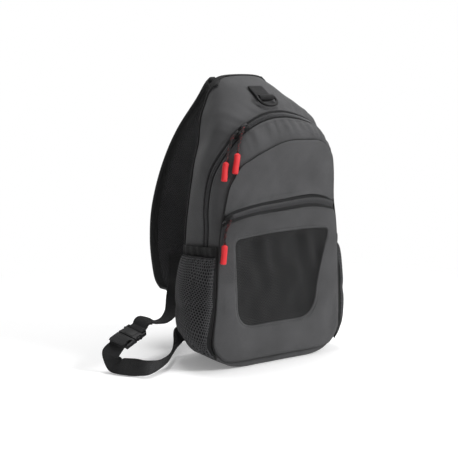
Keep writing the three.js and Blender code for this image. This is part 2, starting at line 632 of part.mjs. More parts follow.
for (const [side, word] of [[-1, 'left'], [1, 'right']]) {
  const binding = coreFrames.map((frame) => strapRow(frame, [
    side * (frame.half - BINDING_WIDTH + GAP / 2),
    side * (frame.half - 3),
    side * frame.half,
  ]));
  const bindingOut = coreFrames.map((frame) => outRow(frame, 3));
  const half = (i, j) => (j === 2 ? BINDING_THICKNESS * 0.3 : BINDING_THICKNESS / 2);
  addWall(`strap_binding_${word}`, binding, bindingOut, half, (i, j) => -half(i, j), BLACK_CLOTH);
}

// A plate cut from a flat shape and set in a frame: its centre, the direction across and the direction along.
function addCut(name, shape, thickness, bevel, centre, across, along, material) {
  const geometry = new THREE.ExtrudeGeometry(shape, {
    depth: thickness - 2 * bevel,
    bevelThickness: bevel,
    bevelSize: bevel,
    bevelOffset: -bevel,
    bevelSegments: 1,
    curveSegments: 5,
  });
  const normal = new THREE.Vector3().crossVectors(across, along).normalize();
  geometry.translate(0, 0, bevel - thickness / 2);
  geometry.applyMatrix4(new THREE.Matrix4().makeBasis(across, along, normal).setPosition(centre));
  const mesh = new THREE.Mesh(geometry, material);
  mesh.name = name;
  model.add(mesh);
}
const polygon = (points) => new THREE.Shape(points.map(([x, y]) => new THREE.Vector2(x, y)));
const rectangle = (width, low, high) => polygon([
  [-width / 2, low], [width / 2, low], [width / 2, high], [-width / 2, high],
]);

// Zip sliders: blocks that lie along the tape.
const SLIDER_BEVEL = 1;
const sliderShape = polygon([
  [-SLIDER_WIDTH * 0.32, -SLIDER_LENGTH / 2],
  [SLIDER_WIDTH * 0.32, -SLIDER_LENGTH / 2],
  [SLIDER_WIDTH / 2, -SLIDER_LENGTH * 0.1],
  [SLIDER_WIDTH / 2, SLIDER_LENGTH / 2],
  [-SLIDER_WIDTH / 2, SLIDER_LENGTH / 2],
  [-SLIDER_WIDTH / 2, -SLIDER_LENGTH * 0.1],
]);
const SLIDER_RISE = SLIDER_HEIGHT / 2 + 2 * GAP;
function addSlider(name, point, normal, along) {
  const flat = along.clone().addScaledVector(normal, -along.dot(normal)).normalize();
  const across = new THREE.Vector3().crossVectors(flat, normal).normalize();
  const centre = point.clone().addScaledVector(normal, SLIDER_RISE);
  addCut(name, sliderShape, SLIDER_HEIGHT, SLIDER_BEVEL, centre, across, flat, BLACK_PLASTIC);
}
const ZIP_MIDDLE = BEHIND_ZIP + 0.5;
for (const [name, row] of [['zip_slider_upper', 15.55], ['zip_slider_lower', 14.72]]) {
  const { point, normal } = gussetAt(row, ZIP_MIDDLE);
  const ahead = gussetAt(row + 0.2, ZIP_MIDDLE).point;
  addSlider(name, point, normal, ahead.sub(point));
}
const SLIDER_SHARE = { x: -0.835, z: 0.527 };
const pocketSliderSeat = onFace(SLIDER_SHARE.x * HALF_WIDTH, heightAt(SLIDER_SHARE.z));
const TAPE_SLOPE = vec(0.93, 0, 0.36);
addSlider('pocket_zip_slider', pocketSliderSeat, vec(-0.19, -0.98, 0).normalize(), TAPE_SLOPE);

// Pulls. Columns of the two on the main zip: station row, gusset column, height over the cloth.
// Columns of the one on the pocket zip: x as a share of half the width, height share, distance over the cloth.
const onGusset = ([row, column, lift]) => {
  const { point, normal } = gussetAt(row, column);
  return point.addScaledVector(normal, lift);
};
const onPocket = ([x, z, lift]) => onFace(x * HALF_WIDTH, heightAt(z)).add(vec(0, -lift, 0));
const PULLS = [
  {
    name: 'upper',
    place: onGusset,
    cord: [[15.35, 7.62, 7.2], [15.0, 7.95, 7.0], [14.76, 8.2, 4.6], [14.5, 8.65, 2.8], [14.22, 9.4, 4.8]],
    grip: [[14.16, 9.54, 5.2], [13.94, 10.12, 5.2], [13.62, 10.73, 5.4], [13.3, 11.65, 5.4]],
  },
  {
    name: 'lower',
    place: onGusset,
    cord: [[14.6, 7.5, 7.2], [14.3, 7.65, 6.4], [14.1, 7.85, 3.8], [13.79, 8.25, 2.8], [13.51, 8.95, 4.8]],
    grip: [[13.45, 9.09, 5.2], [13.19, 9.41, 5.2], [12.84, 9.82, 5.4], [12.46, 10.15, 5.4]],
  },
  {
    name: 'pocket',
    place: onPocket,
    cord: [[-0.845, 0.522, 7.2], [-0.866, 0.508, 6.4], [-0.885, 0.49, 3.6], [-0.903, 0.463, 2.8], [-0.92, 0.4385, 4.8]],
    grip: [[-0.924, 0.4355, 5.2], [-0.928, 0.416, 5.2], [-0.938, 0.392, 5.4], [-0.95, 0.371, 5.4]],
  },
];
const CORD_STEPS = 7;
const GRIP_STEPS = 6;
function addTube(name, points, diameter, steps, sides, material) {
  const ring = Array.from({ length: sides }, (_, i) => {
    const turn = 2 * Math.PI * i / sides;
    return [Math.cos(turn) * diameter / 2, Math.sin(turn) * diameter / 2];
  });
  const geometry = new THREE.ExtrudeGeometry(polygon(ring), {
    steps,
    extrudePath: new THREE.CatmullRomCurve3(points, false, 'catmullrom', 0.5),
  });
  const mesh = new THREE.Mesh(geometry, material);
  mesh.name = name;
  model.add(mesh);
}
for (const { name, place, cord, grip } of PULLS) {
  addTube(`pull_cord_${name}`, cord.map(place), CORD_DIAMETER, CORD_STEPS, 8, BLACK_CLOTH);
  addTube(`pull_grip_${name}`, grip.map(place), GRIP_DIAMETER, GRIP_STEPS, 10, RED_RUBBER);
}

// D-ring on a webbing tab that is sewn to the top panel. The tab runs down the slope and its end
// loops round the bar of the ring.
const TAB_SEAT = { row: 20.9, column: 4.4 };
const seat = gussetAt(TAB_SEAT.row, TAB_SEAT.column);
const tabAcross = vec(1, 0, 0);
const tabOut = seat.normal.clone().setX(0).normalize();
const tabAlong = new THREE.Vector3().crossVectors(tabOut, tabAcross).normalize();
if (tabAlong.z > 0) tabAlong.negate();
const BAR_CORNER = 0.56;
const loopInner = RING_WIRE * BAR_CORNER + RING_CLEARANCE;
const loopOuter = loopInner + WEBBING_THICKNESS;
const barHeight = loopOuter + 1.5 * GAP;
const barAt = TAB_LENGTH * 0.5;
const tabTop = barAt - TAB_LENGTH;
const doubled = 2 * WEBBING_THICKNESS;
const tabFloor = 1.5 * GAP;
const tabShape = new THREE.Shape();
const wrapStart = -Math.asin(Math.min(0.95, (barHeight - tabFloor - doubled) / loopOuter));
tabShape.moveTo(tabTop, tabFloor);
tabShape.lineTo(barAt, tabFloor);
tabShape.absarc(barAt, barHeight, loopOuter, -Math.PI / 2, Math.PI - wrapStart * 0.2, false);
tabShape.lineTo(barAt - loopOuter * 2, tabFloor + doubled);
tabShape.lineTo(tabTop, tabFloor + doubled);
tabShape.closePath();
const tabHole = new THREE.Path();
tabHole.absarc(barAt, barHeight, loopInner, 0, 2 * Math.PI, true);
tabShape.holes.push(tabHole);
addCut('d_ring_tab', tabShape, WEBBING_WIDTH, 0, seat.point, tabAlong, tabOut, BLACK_CLOTH);

const ringOuter = new THREE.Shape();
const half = RING_WIDTH / 2;
const barLow = -RING_WIRE / 2;
const ringEnd = RING_DEPTH + barLow;
ringOuter.moveTo(-half, barLow);
ringOuter.lineTo(half, barLow);
ringOuter.lineTo(half, ringEnd * 0.25);
ringOuter.bezierCurveTo(half, ringEnd * 0.8, half * 0.5, ringEnd, 0, ringEnd);
ringOuter.bezierCurveTo(-half * 0.5, ringEnd, -half, ringEnd * 0.8, -half, ringEnd * 0.25);
ringOuter.closePath();
const holeHalf = half - RING_WIRE;
const holeEnd = ringEnd - RING_WIRE;
const ringHole = new THREE.Path();
ringHole.moveTo(-holeHalf, -barLow);
ringHole.lineTo(-holeHalf, ringEnd * 0.25);
ringHole.bezierCurveTo(-holeHalf, holeEnd * 0.8, -holeHalf * 0.5, holeEnd, 0, holeEnd);
ringHole.bezierCurveTo(holeHalf * 0.5, holeEnd, holeHalf, holeEnd * 0.8, holeHalf, ringEnd * 0.25);
ringHole.lineTo(holeHalf, -barLow);
ringHole.closePath();
ringOuter.holes.push(ringHole);
const RING_DIP = -0.1;
const ringCentre = seat.point.clone().addScaledVector(tabAlong, barAt).addScaledVector(tabOut, barHeight);
const ringAlong = tabAlong.clone().multiplyScalar(Math.cos(RING_DIP)).addScaledVector(tabOut, Math.sin(RING_DIP));
addCut('d_ring', ringOuter, RING_WIRE, 1, ringCentre, tabAcross, ringAlong, BLACK_PLASTIC);

// Belts of webbing. Each row is a station of the middle line, as shares of half the width, of the depth and
// of the height, and then the direction from the belt's first edge to its second edge.
const BELT_STEPS = 2;
const beltPoint = ([x, y, z]) => vec(x * HALF_WIDTH, y * BAG_DEPTH, z * BAG_HEIGHT);
function addBelt(name, centres, acrosses, material) {
  const line = splineThrough(centres, BELT_STEPS);
  const turns = splineThrough(acrosses, BELT_STEPS);
  const grid = line.map((centre, i) => {
    const across = turns[i].clone().normalize();
    return [-0.5, 0, 0.5].map((side) => {
      const point = centre.clone().addScaledVector(across, side * WEBBING_WIDTH);
      return point.setZ(Math.max(point.z, WEBBING_THICKNESS / 2));
    });
  });
  addWall(name, grid, gridNormals(grid, false), WEBBING_THICKNESS / 2, -WEBBING_THICKNESS / 2, material);
}

// Buckle frame: the bar end, the ladder end and the direction across it.
const buckleStart = beltPoint([-1.678, 0.368, 0.1281]);
const buckleEnd = beltPoint([-2.0205, 0.2475, 0.0985]);
const buckleAlong = buckleEnd.clone().sub(buckleStart).normalize();
const buckleAcross = vec(0.375, -0.898, -0.2335);
buckleAcross.addScaledVector(buckleAlong, -buckleAcross.dot(buckleAlong)).normalize();
const BODY_SHARE = 0.56;
const bodyEnd = BUCKLE_LENGTH * BODY_SHARE;
const BUCKLE_WALL = 4;
const wide = BUCKLE_WIDTH / 2;
const bodyShape = polygon([
  [-wide * 0.85, 0], [wide * 0.85, 0], [wide, BUCKLE_WALL], [wide, bodyEnd * 0.35],
  [wide * 0.88, bodyEnd * 0.5], [wide * 0.88, bodyEnd * 0.75], [wide, bodyEnd - GAP / 2],
  [-wide, bodyEnd - GAP / 2], [-wide * 0.88, bodyEnd * 0.75], [-wide * 0.88, bodyEnd * 0.5],
  [-wide, bodyEnd * 0.35], [-wide, BUCKLE_WALL],
]);
const slot = (low, high) => {
  const reach = (WEBBING_WIDTH + 1) / 2;
  return new THREE.Path([[-reach, low], [-reach, high], [reach, high], [reach, low]]
    .map(([x, y]) => new THREE.Vector2(x, y)));
};
const SLOT_WIDTH = 4;
bodyShape.holes.push(slot(BUCKLE_WALL * 0.8, BUCKLE_WALL * 0.8 + SLOT_WIDTH));
const BUCKLE_BEVEL = 0.8;
addCut('buckle_female', bodyShape, BUCKLE_THICKNESS, BUCKLE_BEVEL, buckleStart, buckleAcross, buckleAlong,
  BLACK_PLASTIC);
const ladderShape = rectangle(BUCKLE_WIDTH, bodyEnd + GAP / 2, BUCKLE_LENGTH);
const ladderStart = bodyEnd + BUCKLE_WALL;
ladderShape.holes.push(slot(ladderStart, ladderStart + SLOT_WIDTH * 0.8));
ladderShape.holes.push(slot(ladderStart + SLOT_WIDTH * 1.6, ladderStart + SLOT_WIDTH * 2.4));
addCut('buckle_male', ladderShape, BUCKLE_THICKNESS * 0.8, BUCKLE_BEVEL, buckleStart, buckleAcross, buckleAlong,
  BLACK_PLASTIC);

// Upper belt: sewn on the inner face of the strap's end, and from there to the bar of the buckle.
const PATCH_FRAMES = [lastFrame - 5, lastFrame - 3, lastFrame - 1];
const patchLift = STRAP_THICKNESS / 2 + WEBBING_THICKNESS / 2 + GAP;
const patch = PATCH_FRAMES.map((i) => {
  const { point, across, out } = strapFrames[i];
  const inner = out.y > 0 ? -patchLift : patchLift;
  return { centre: point.clone().addScaledVector(out, inner), across };
});
const beltEnd = buckleStart.clone().addScaledVector(buckleAlong, -GAP - WEBBING_THICKNESS);
const UPPER_BELT = [
  [-0.93, 0.73, 0.165, 0.5, -0.86, -0.05],
  [-1.03, 0.65, 0.143, 0.29, -0.96, 0.0],
  [-1.17, 0.57, 0.1315, -0.01, -1.0, -0.01],
  [-1.308, 0.532, 0.1328, -0.28, -0.96, 0.06],
  [-1.41, 0.492, 0.143, -0.33, -0.94, -0.06],
  [-1.493, 0.454, 0.1496, -0.14, -0.96, -0.23],
  [-1.562, 0.415, 0.1535, 0.13, -0.93, -0.35],
  [-1.615, 0.39, 0.148, 0.33, -0.88, -0.34],
];
const acrossOf = (row) => vec(row[3], row[4], row[5]).normalize();
addBelt('webbing_upper', [...patch.map((p) => p.centre), ...UPPER_BELT.map(beltPoint), beltEnd],
  [...patch.map((p) => p.across), ...UPPER_BELT.map(acrossOf), buckleAcross], BLACK_CLOTH);

// Lower belt: from the ladder round its turn on the floor, and back to the lower corner of the back panel.
const ladderEnd = buckleStart.clone().addScaledVector(buckleAlong, BUCKLE_LENGTH + GAP + WEBBING_THICKNESS / 2);
const LOWER_BELT = [
  [-2.143, 0.243, 0.0692, 0.73, -0.59, -0.335],
  [-2.118, 0.248, 0.0455, 0.85, -0.49, 0.2],
  [-2.1, 0.2, 0.0285, 0.66, -0.4, 0.63],
  [-2.075, 0.125, 0.0285, 0.55, -0.1, 0.83],
  [-1.997, -0.014, 0.0295, 0.46, 0.12, 0.88],
  [-1.912, -0.171, 0.0315, 0.02, -0.23, 0.97],
  [-1.807, -0.207, 0.0301, -0.12, -0.36, 0.92],
  [-1.615, -0.099, 0.0255, -0.25, -0.59, 0.77],
  [-1.433, -0.001, 0.032, -0.39, -0.69, 0.6],
  [-1.207, 0.257, 0.034, -0.47, -0.75, 0.45],
  [-1.087, 0.383, 0.0494, -0.56, -0.6, 0.57],
  [-0.995, 0.463, 0.0745, -0.6, 0.0, 0.8],
];
addBelt('webbing_lower', [ladderEnd, ...LOWER_BELT.map(beltPoint)], [buckleAcross, ...LOWER_BELT.map(acrossOf)],
  BLACK_CLOTH);

// Corner tab: a sewn triangle between the back seam and the end of the lower belt.
const cornerEnd = LOWER_BELT[LOWER_BELT.length - 1];
const cornerAcross = acrossOf(cornerEnd);
const seamOut = insetLoop(backLoop, -2 * GAP);
const CORNER_ROWS = [6, 5, 4];
const cornerLoop = [
  ...[-0.5, 0.5].map((side) => beltPoint(cornerEnd).addScaledVector(cornerAcross, side * WEBBING_WIDTH)
    .add(vec(1.5, 0, 0.4))),
  ...CORNER_ROWS.map((i) => seamOut[i].clone()),
].map((p) => p.setY(padStart + 2 * GAP));
const cornerCentre = cornerLoop.reduce((sum, p) => sum.add(p), vec(0, 0, 0)).divideScalar(cornerLoop.length);
addPlate('corner_tab', [cornerLoop, shiftedY(cornerLoop, doubled)],
  [cornerCentre, cornerCentre.clone().add(vec(0, doubled, 0))], BLACK_CLOTH);

export default model;
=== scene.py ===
# %% [markdown]
# A sling bag for fishing tackle stands on a pale studio floor. It is a soft bag with a padded strap, so nearly
# all of it is sewn cloth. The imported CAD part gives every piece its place, and this script dresses it.

# %% Load the frame
import math

import bpy
import numpy as np
from mathutils import Matrix, Vector


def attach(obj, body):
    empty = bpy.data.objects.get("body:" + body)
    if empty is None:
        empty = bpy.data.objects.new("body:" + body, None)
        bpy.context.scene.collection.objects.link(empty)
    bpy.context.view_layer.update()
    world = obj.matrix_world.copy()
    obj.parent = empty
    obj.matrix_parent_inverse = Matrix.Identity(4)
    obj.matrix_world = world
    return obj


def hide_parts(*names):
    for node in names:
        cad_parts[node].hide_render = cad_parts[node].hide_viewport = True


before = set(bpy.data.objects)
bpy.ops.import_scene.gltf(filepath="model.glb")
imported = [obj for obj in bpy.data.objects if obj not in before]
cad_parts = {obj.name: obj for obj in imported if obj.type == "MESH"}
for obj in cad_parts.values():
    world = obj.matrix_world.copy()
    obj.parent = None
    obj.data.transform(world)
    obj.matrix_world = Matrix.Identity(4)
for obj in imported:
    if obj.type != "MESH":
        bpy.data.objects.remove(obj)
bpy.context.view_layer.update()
bpy.ops.object.select_all(action="DESELECT")
print("solids in the frame:", len(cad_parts))

# %% [markdown]
# The camera comes first. It stands in front of the bag, a little to its left and above it, with a long lens, as
# in a catalogue picture. A long lens keeps the sides of the bag nearly parallel.

# %% Camera
LENS = 86.15
EYE = Vector((-0.9221, -1.29516, 0.43787))
LOOK = Vector((0.552308, 0.818831, -0.156434))
bpy.ops.object.camera_add(location=EYE, rotation=LOOK.to_track_quat("-Z", "Y").to_euler())
camera = bpy.context.object
camera.data.lens = LENS
camera.data.sensor_width = 36
bpy.context.scene.camera = camera
print("camera at", tuple(round(x, 3) for x in EYE))

# %% [markdown]
# The whole bag hangs on three seams: the back seam round the padded panel, the line of the main zip, and the
# front seam round the pocket. Each row below is one station round the bag, from the middle of the base up the
# left side, over the top and down the right side. The shares are the same ones that the CAD part was cut with,
# so that the cloth lies where its solid lies.

# %% Seam stations
MM = 0.001
HALF_WIDTH = 107.5 * MM
HEIGHT = 409 * MM
SOLE = 4 * MM
DEPTH = 101 * MM
GAP = 0.3 * MM
CLOTH = 2 * MM
ZIP_WIDTH = 15 * MM
BACK_Y = DEPTH * 0.445
FRONT_Y = BACK_Y - DEPTH
# Columns: the x and z shares of the back seam, of the main zip and of the front seam, then how square the section
# is, how far it puffs as a share of the depth, and where between the seams the puff has its peak.
SEAM_ROWS = np.array([
    [0.0, -0.01, 0.0, -0.01, 0.0, 0.0148, 1, 0, 0.5],
    [-0.28, -0.01, -0.3, -0.01, -0.3, 0.0148, 1, 0, 0.5],
    [-0.48, -0.01, -0.56, -0.01, -0.6, 0.0148, 1, 0, 0.5],
    [-0.64, 0.012, -0.78, 0.0, -0.853, 0.022, 0.9, 0, 0.5],
    [-0.76, 0.048, -0.925, 0.027, -0.963, 0.042, 0.8, 0, 0.5],
    [-0.845, 0.084, -1.02, 0.067, -1.04, 0.073, 0.6, 0.005, 0.5],
    [-0.875, 0.124, -1.045, 0.109, -1.06, 0.106, 0.4, 0.01, 0.5],
    [-0.878, 0.205, -1.015, 0.198, -1.023, 0.19, 0.2, 0.02, 0.5],
    [-0.879, 0.3, -0.985, 0.296, -0.995, 0.277, 0.2, 0.02, 0.5],
    [-0.88, 0.388, -0.97, 0.39, -0.977, 0.39, 0.2, 0.02, 0.5],
    [-0.86, 0.477, -0.961, 0.479, -0.944, 0.474, 0.1, 0.02, 0.5],
    [-0.814, 0.56, -0.975, 0.551, -0.889, 0.541, 0, 0.03, 0.5],
    [-0.761, 0.654, -0.955, 0.635, -0.819, 0.62, 0, 0.05, 0.55],
    [-0.707, 0.716, -0.89, 0.697, -0.744, 0.659, 0, 0.08, 0.65],
    [-0.66, 0.764, -0.7, 0.77, -0.651, 0.696, 0, 0.12, 0.7],
    [-0.638, 0.82, -0.52, 0.817, -0.484, 0.721, 0, 0.16, 0.65],
    [-0.614, 0.86, -0.39, 0.838, -0.355, 0.738, 0, 0.17, 0.55],
    [-0.55, 0.904, -0.27, 0.853, -0.24, 0.75, 0, 0.15, 0.42],
    [-0.484, 0.948, -0.17, 0.862, -0.15, 0.76, 0, 0.1, 0.3],
    [-0.42, 0.98, -0.085, 0.867, -0.065, 0.768, 0, 0.05, 0.3],
    [-0.28, 0.996, -0.02, 0.87, 0.0, 0.773, 0, 0.03, 0.4],
    [0.0, 1.0, 0.075, 0.871, 0.13, 0.779, 0, 0.03, 0.5],
    [0.28, 0.996, 0.167, 0.871, 0.24, 0.78, 0, 0.03, 0.4],
    [0.42, 0.98, 0.26, 0.867, 0.345, 0.779, 0, 0.05, 0.3],
    [0.484, 0.948, 0.372, 0.862, 0.447, 0.778, 0, 0.1, 0.3],
    [0.55, 0.904, 0.502, 0.853, 0.54, 0.778, 0, 0.16, 0.42],
    [0.614, 0.86, 0.633, 0.84, 0.623, 0.773, 0, 0.18, 0.6],
    [0.645, 0.82, 0.781, 0.815, 0.707, 0.762, 0, 0.18, 0.7],
    [0.67, 0.764, 0.884, 0.77, 0.791, 0.738, 0, 0.13, 0.7],
    [0.707, 0.716, 0.94, 0.721, 0.847, 0.709, 0, 0.09, 0.65],
    [0.763, 0.654, 0.967, 0.647, 0.882, 0.654, 0, 0.05, 0.55],
    [0.814, 0.56, 0.977, 0.551, 0.902, 0.563, 0, 0.03, 0.5],
    [0.86, 0.477, 0.977, 0.479, 0.949, 0.479, 0.1, 0.02, 0.5],
    [0.88, 0.388, 0.98, 0.39, 0.977, 0.39, 0.2, 0.02, 0.5],
    [0.879, 0.3, 0.985, 0.296, 0.995, 0.277, 0.2, 0.02, 0.5],
    [0.878, 0.205, 1.0, 0.198, 1.01, 0.19, 0.2, 0.02, 0.5],
    [0.875, 0.124, 1.01, 0.109, 1.015, 0.106, 0.4, 0.01, 0.5],
    [0.845, 0.084, 0.985, 0.067, 0.995, 0.073, 0.6, 0.005, 0.5],
    [0.76, 0.048, 0.9, 0.027, 0.92, 0.042, 0.8, 0, 0.5],
    [0.64, 0.012, 0.76, 0.0, 0.81, 0.022, 0.9, 0, 0.5],
    [0.48, -0.01, 0.54, -0.01, 0.56, 0.0148, 1, 0, 0.5],
    [0.28, -0.01, 0.3, -0.01, 0.3, 0.0148, 1, 0, 0.5],
])
ROWS = len(SEAM_ROWS)
# The main zip runs over the top between these two stations.
ZIP_FIRST, ZIP_LAST = 9, 33


def height_at(share):
    return np.maximum(0, SOLE + np.asarray(share) * (HEIGHT - SOLE))


def share_of(z):
    return (np.asarray(z) - SOLE) / (HEIGHT - SOLE)


def smooth(t):
    t = np.clip(t, 0, 1)
    return t * t * (3 - 2 * t)


def zip_y(z):
    t = smooth((share_of(z) - 0.55) / 0.3)
    return BACK_Y - DEPTH * (0.673 + (0.861 - 0.673) * t)


def front_seam_y(z):
    return FRONT_Y - 5 * MM * smooth((share_of(z) - 0.57) / 0.2)


def seam(x_share, z_share, y_of):
    z = height_at(z_share)
    return np.stack([x_share * HALF_WIDTH, y_of(z), z], axis=-1)


BACK = seam(SEAM_ROWS[:, 0], SEAM_ROWS[:, 1], lambda z: np.full_like(z, BACK_Y))
ZIP = seam(SEAM_ROWS[:, 2], SEAM_ROWS[:, 3], zip_y)
FRONT = seam(SEAM_ROWS[:, 4], SEAM_ROWS[:, 5], front_seam_y)
print("seam stations:", ROWS)

# %% [markdown]
# Between two seams the cloth is a loft. Its section is boxy on the base and puffed on the shoulders. The loft is
# first made coarse, at the stations, and then a smooth curve through its points gives the fine cloth.

# %% Loft of the gusset
BACK_SHARES = [0, 0.04, 0.14, 0.3, 0.5, 0.7, 0.85]
FRONT_SHARES = [0.7, 0.35, 0.12, 0.04, 0]
EASE_END = 0.14


def unit(v):
    return v / np.maximum(np.linalg.norm(v, axis=-1, keepdims=True), 1e-12)


def fullness(share, peak):
    if share < peak:
        return math.sin(math.pi / 2 * share / peak)
    return math.cos(math.pi / 2 * (share - peak) / (1 - peak))


def section_point(start, end, share, square, puff, peak, normal):
    boxed = math.sqrt(1 - (1 - min(share / EASE_END, 1)) ** 2)
    ease = share + (boxed - share) * square
    point = start + (end - start) * np.array([ease, share, ease])
    return point + normal * puff * fullness(share, peak)


def chord_normal(i, start, end):
    nxt, prv = (i + 1) % ROWS, (i - 1) % ROWS
    along = start[nxt] + end[nxt] - start[prv] - end[prv]
    return unit(np.cross(end[i] - start[i], along))


def gusset_row(i):
    square, puff, peak = SEAM_ROWS[i, 6], SEAM_ROWS[i, 7] * DEPTH, SEAM_ROWS[i, 8]
    behind = ZIP[i] + unit(BACK[i] - ZIP[i]) * ZIP_WIDTH / 2
    ahead = ZIP[i] + unit(FRONT[i] - ZIP[i]) * ZIP_WIDTH / 2
    if square > 0.5:
        for p in (behind, ahead):
            p[[0, 2]] += (ZIP[i][[0, 2]] - p[[0, 2]]) * square
    back_n, front_n = chord_normal(i, BACK, ZIP), chord_normal(i, ZIP, FRONT)
    rear = [section_point(BACK[i], behind, s, square, puff, peak, back_n) for s in BACK_SHARES]
    fore = [section_point(FRONT[i], ahead, s, square, min(puff, DEPTH * 0.03), 0.5, front_n) for s in FRONT_SHARES]
    return np.array(rear + [behind, ahead] + fore)


COARSE = np.array([gusset_row(i) for i in range(ROWS)])
BEHIND = len(BACK_SHARES)


def catmull(points, steps, closed=False):
    """A smooth curve through points along the first axis, with steps pieces between two of them."""
    p = np.asarray(points, float)
    n = len(p)
    if closed:
        q = np.concatenate([p[-1:], p, p[:2]])
        spans = n
    else:
        q = np.concatenate([2 * p[:1] - p[1:2], p, 2 * p[-1:] - p[-2:-1]])
        spans = n - 1
    out = []
    for i in range(spans):
        a, b, c, d = q[i], q[i + 1], q[i + 2], q[i + 3]
        for k in range(steps):
            t = k / steps
            out.append(0.5 * (2 * b + (c - a) * t + (2 * a - 5 * b + 4 * c - d) * t ** 2
                              + (3 * b - a - 3 * c + d) * t ** 3))
    if not closed:
        out.append(q[-2])
    return np.array(out)


ROW_STEPS, COLUMN_STEPS, TAPE_STEPS = 6, 4, 4
fine_rows = catmull(COARSE, ROW_STEPS, closed=True)
rear = catmull(fine_rows[:, :BEHIND + 1].transpose(1, 0, 2), COLUMN_STEPS).transpose(1, 0, 2)
fore = catmull(fine_rows[:, BEHIND + 1:].transpose(1, 0, 2), COLUMN_STEPS).transpose(1, 0, 2)
tape_shares = np.linspace(0, 1, TAPE_STEPS + 1)[1:-1]
tape = np.stack([rear[:, -1] + (fore[:, 0] - rear[:, -1]) * t for t in tape_shares], axis=1)
FINE = np.concatenate([rear, tape, fore], axis=1)
REAR_LAST = rear.shape[1] - 1
FORE_FIRST = REAR_LAST + TAPE_STEPS


def grid_normals(grid, closed):
    """Normals of a grid of points, from its neighbours along both ways."""
    padded = np.concatenate([grid[-1:], grid, grid[:1]]) if closed else grid
    down = np.gradient(padded, axis=0)[1:-1] if closed else np.gradient(grid, axis=0)
    return unit(np.cross(np.gradient(grid, axis=1), down))


FINE_NORMALS = grid_normals(FINE, True)
if FINE_NORMALS[8 * ROW_STEPS, 6, 0] > 0:
    FINE_NORMALS *= -1
print("cloth of the gusset:", FINE.shape)


def column_index(column):
    """A column of the coarse loft, from 0 to 13, as a column of the fine one."""
    if column <= BEHIND:
        return column * COLUMN_STEPS
    if column < BEHIND + 1:
        return REAR_LAST + (column - BEHIND) * TAPE_STEPS
    return FORE_FIRST + (column - BEHIND - 1) * COLUMN_STEPS


def sample(table, row, column):
    i, j = np.floor(row).astype(int), np.floor(column).astype(int)
    j = np.clip(j, 0, table.shape[1] - 2)
    a, b = (row - i)[..., None], (column - j)[..., None]
    n = len(table)
    low = table[i % n, j] * (1 - b) + table[i % n, j + 1] * b
    high = table[(i + 1) % n, j] * (1 - b) + table[(i + 1) % n, j + 1] * b
    return low * (1 - a) + high * a


def on_gusset(row, column, lift=0.0):
    """A point of the cloth at a station row and a loft column, lifted off it in metres."""
    r = np.atleast_1d(np.asarray(row, float)) * ROW_STEPS
    c = np.array([column_index(x) for x in np.atleast_1d(column)], float)
    r, c = np.broadcast_arrays(r, c)
    return sample(FINE, r, c) + unit(sample(FINE_NORMALS, r, c)) * np.atleast_1d(lift)[:, None]


# %% [markdown]
# Small tools come next: one turns points into a mesh, one sweeps a section along a line, and one hands a
# finished piece over to its body. Every mesh carries a UV map in metres, so that a weave has its real pitch.

# %% Mesh tools
def build_mesh(name, points, faces, uvs=None, smooth_faces=True):
    """A new object from points and faces; uvs has one pair for each point."""
    mesh = bpy.data.meshes.new(name)
    points = np.asarray(points, float)
    mesh.from_pydata(points.tolist(), [], [list(map(int, f)) for f in faces])
    if uvs is not None:
        layer = mesh.uv_layers.new(name="UVMap")
        loops = np.empty(len(mesh.loops), int)
        mesh.loops.foreach_get("vertex_index", loops)
        layer.data.foreach_set("uv", np.asarray(uvs, float)[loops].ravel())
    mesh.polygons.foreach_set("use_smooth", [smooth_faces] * len(mesh.polygons))
    mesh.update()
    obj = bpy.data.objects.new(name, mesh)
    bpy.context.collection.objects.link(obj)
    return obj


def select_only(obj):
    bpy.ops.object.select_all(action="DESELECT")
    obj.select_set(True)
    bpy.context.view_layer.objects.active = obj


def outward(obj):
    """Turns all faces of a closed mesh outward."""
    select_only(obj)
    bpy.ops.object.mode_set(mode="EDIT")
    bpy.ops.mesh.select_all(action="SELECT")
    bpy.ops.mesh.normals_make_consistent(inside=False)
    bpy.ops.object.mode_set(mode="OBJECT")
    return obj


def apply_modifier(obj, kind, **settings):
    select_only(obj)
    modifier = obj.modifiers.new(kind.title(), kind)
    for key, value in settings.items():
        setattr(modifier, key, value)
    bpy.ops.object.modifier_apply(modifier=modifier.name)
    return obj


def grid_faces(rows, columns, closed=False, keep=None):
    """Quads of a grid; keep(i, j) says which cells stay."""
    faces = []
    for i in range(rows if closed else rows - 1):
        for j in range(columns - 1):
            if keep is None or keep(i, j):
                a, b = i * columns + j, ((i + 1) % rows) * columns + j
                faces.append((a, a + 1, b + 1, b))
    return faces


def lengths_along(points):
    steps = np.linalg.norm(np.diff(points, axis=0), axis=-1)
    return np.concatenate([[0], np.cumsum(steps)])


def grid_uv(grid):
    u = np.stack([lengths_along(row) for row in grid])
    v = np.stack([lengths_along(grid[:, j]) for j in range(grid.shape[1])], axis=1)
    return np.stack([u, v], axis=-1)


def grid_object(name, grid, closed=False, keep=None, normals=None, thickness=0.0):
    """A cloth from a grid of points. With a thickness it becomes a closed wall that grows along -normals."""
    rows, columns = grid.shape[:2]
    faces = grid_faces(rows, columns, closed, keep)
    obj = build_mesh(name, grid.reshape(-1, 3), faces, grid_uv(grid).reshape(-1, 2))
    if normals is not None:
        face_n = np.array(obj.data.polygons[0].normal)
        i, j = divmod(obj.data.polygons[0].vertices[0], columns)
        if np.dot(face_n, normals[i % rows, j]) < 0:
            obj.data.flip_normals()
    if thickness:
        apply_modifier(obj, "SOLIDIFY", thickness=thickness, offset=-1.0)
    return obj


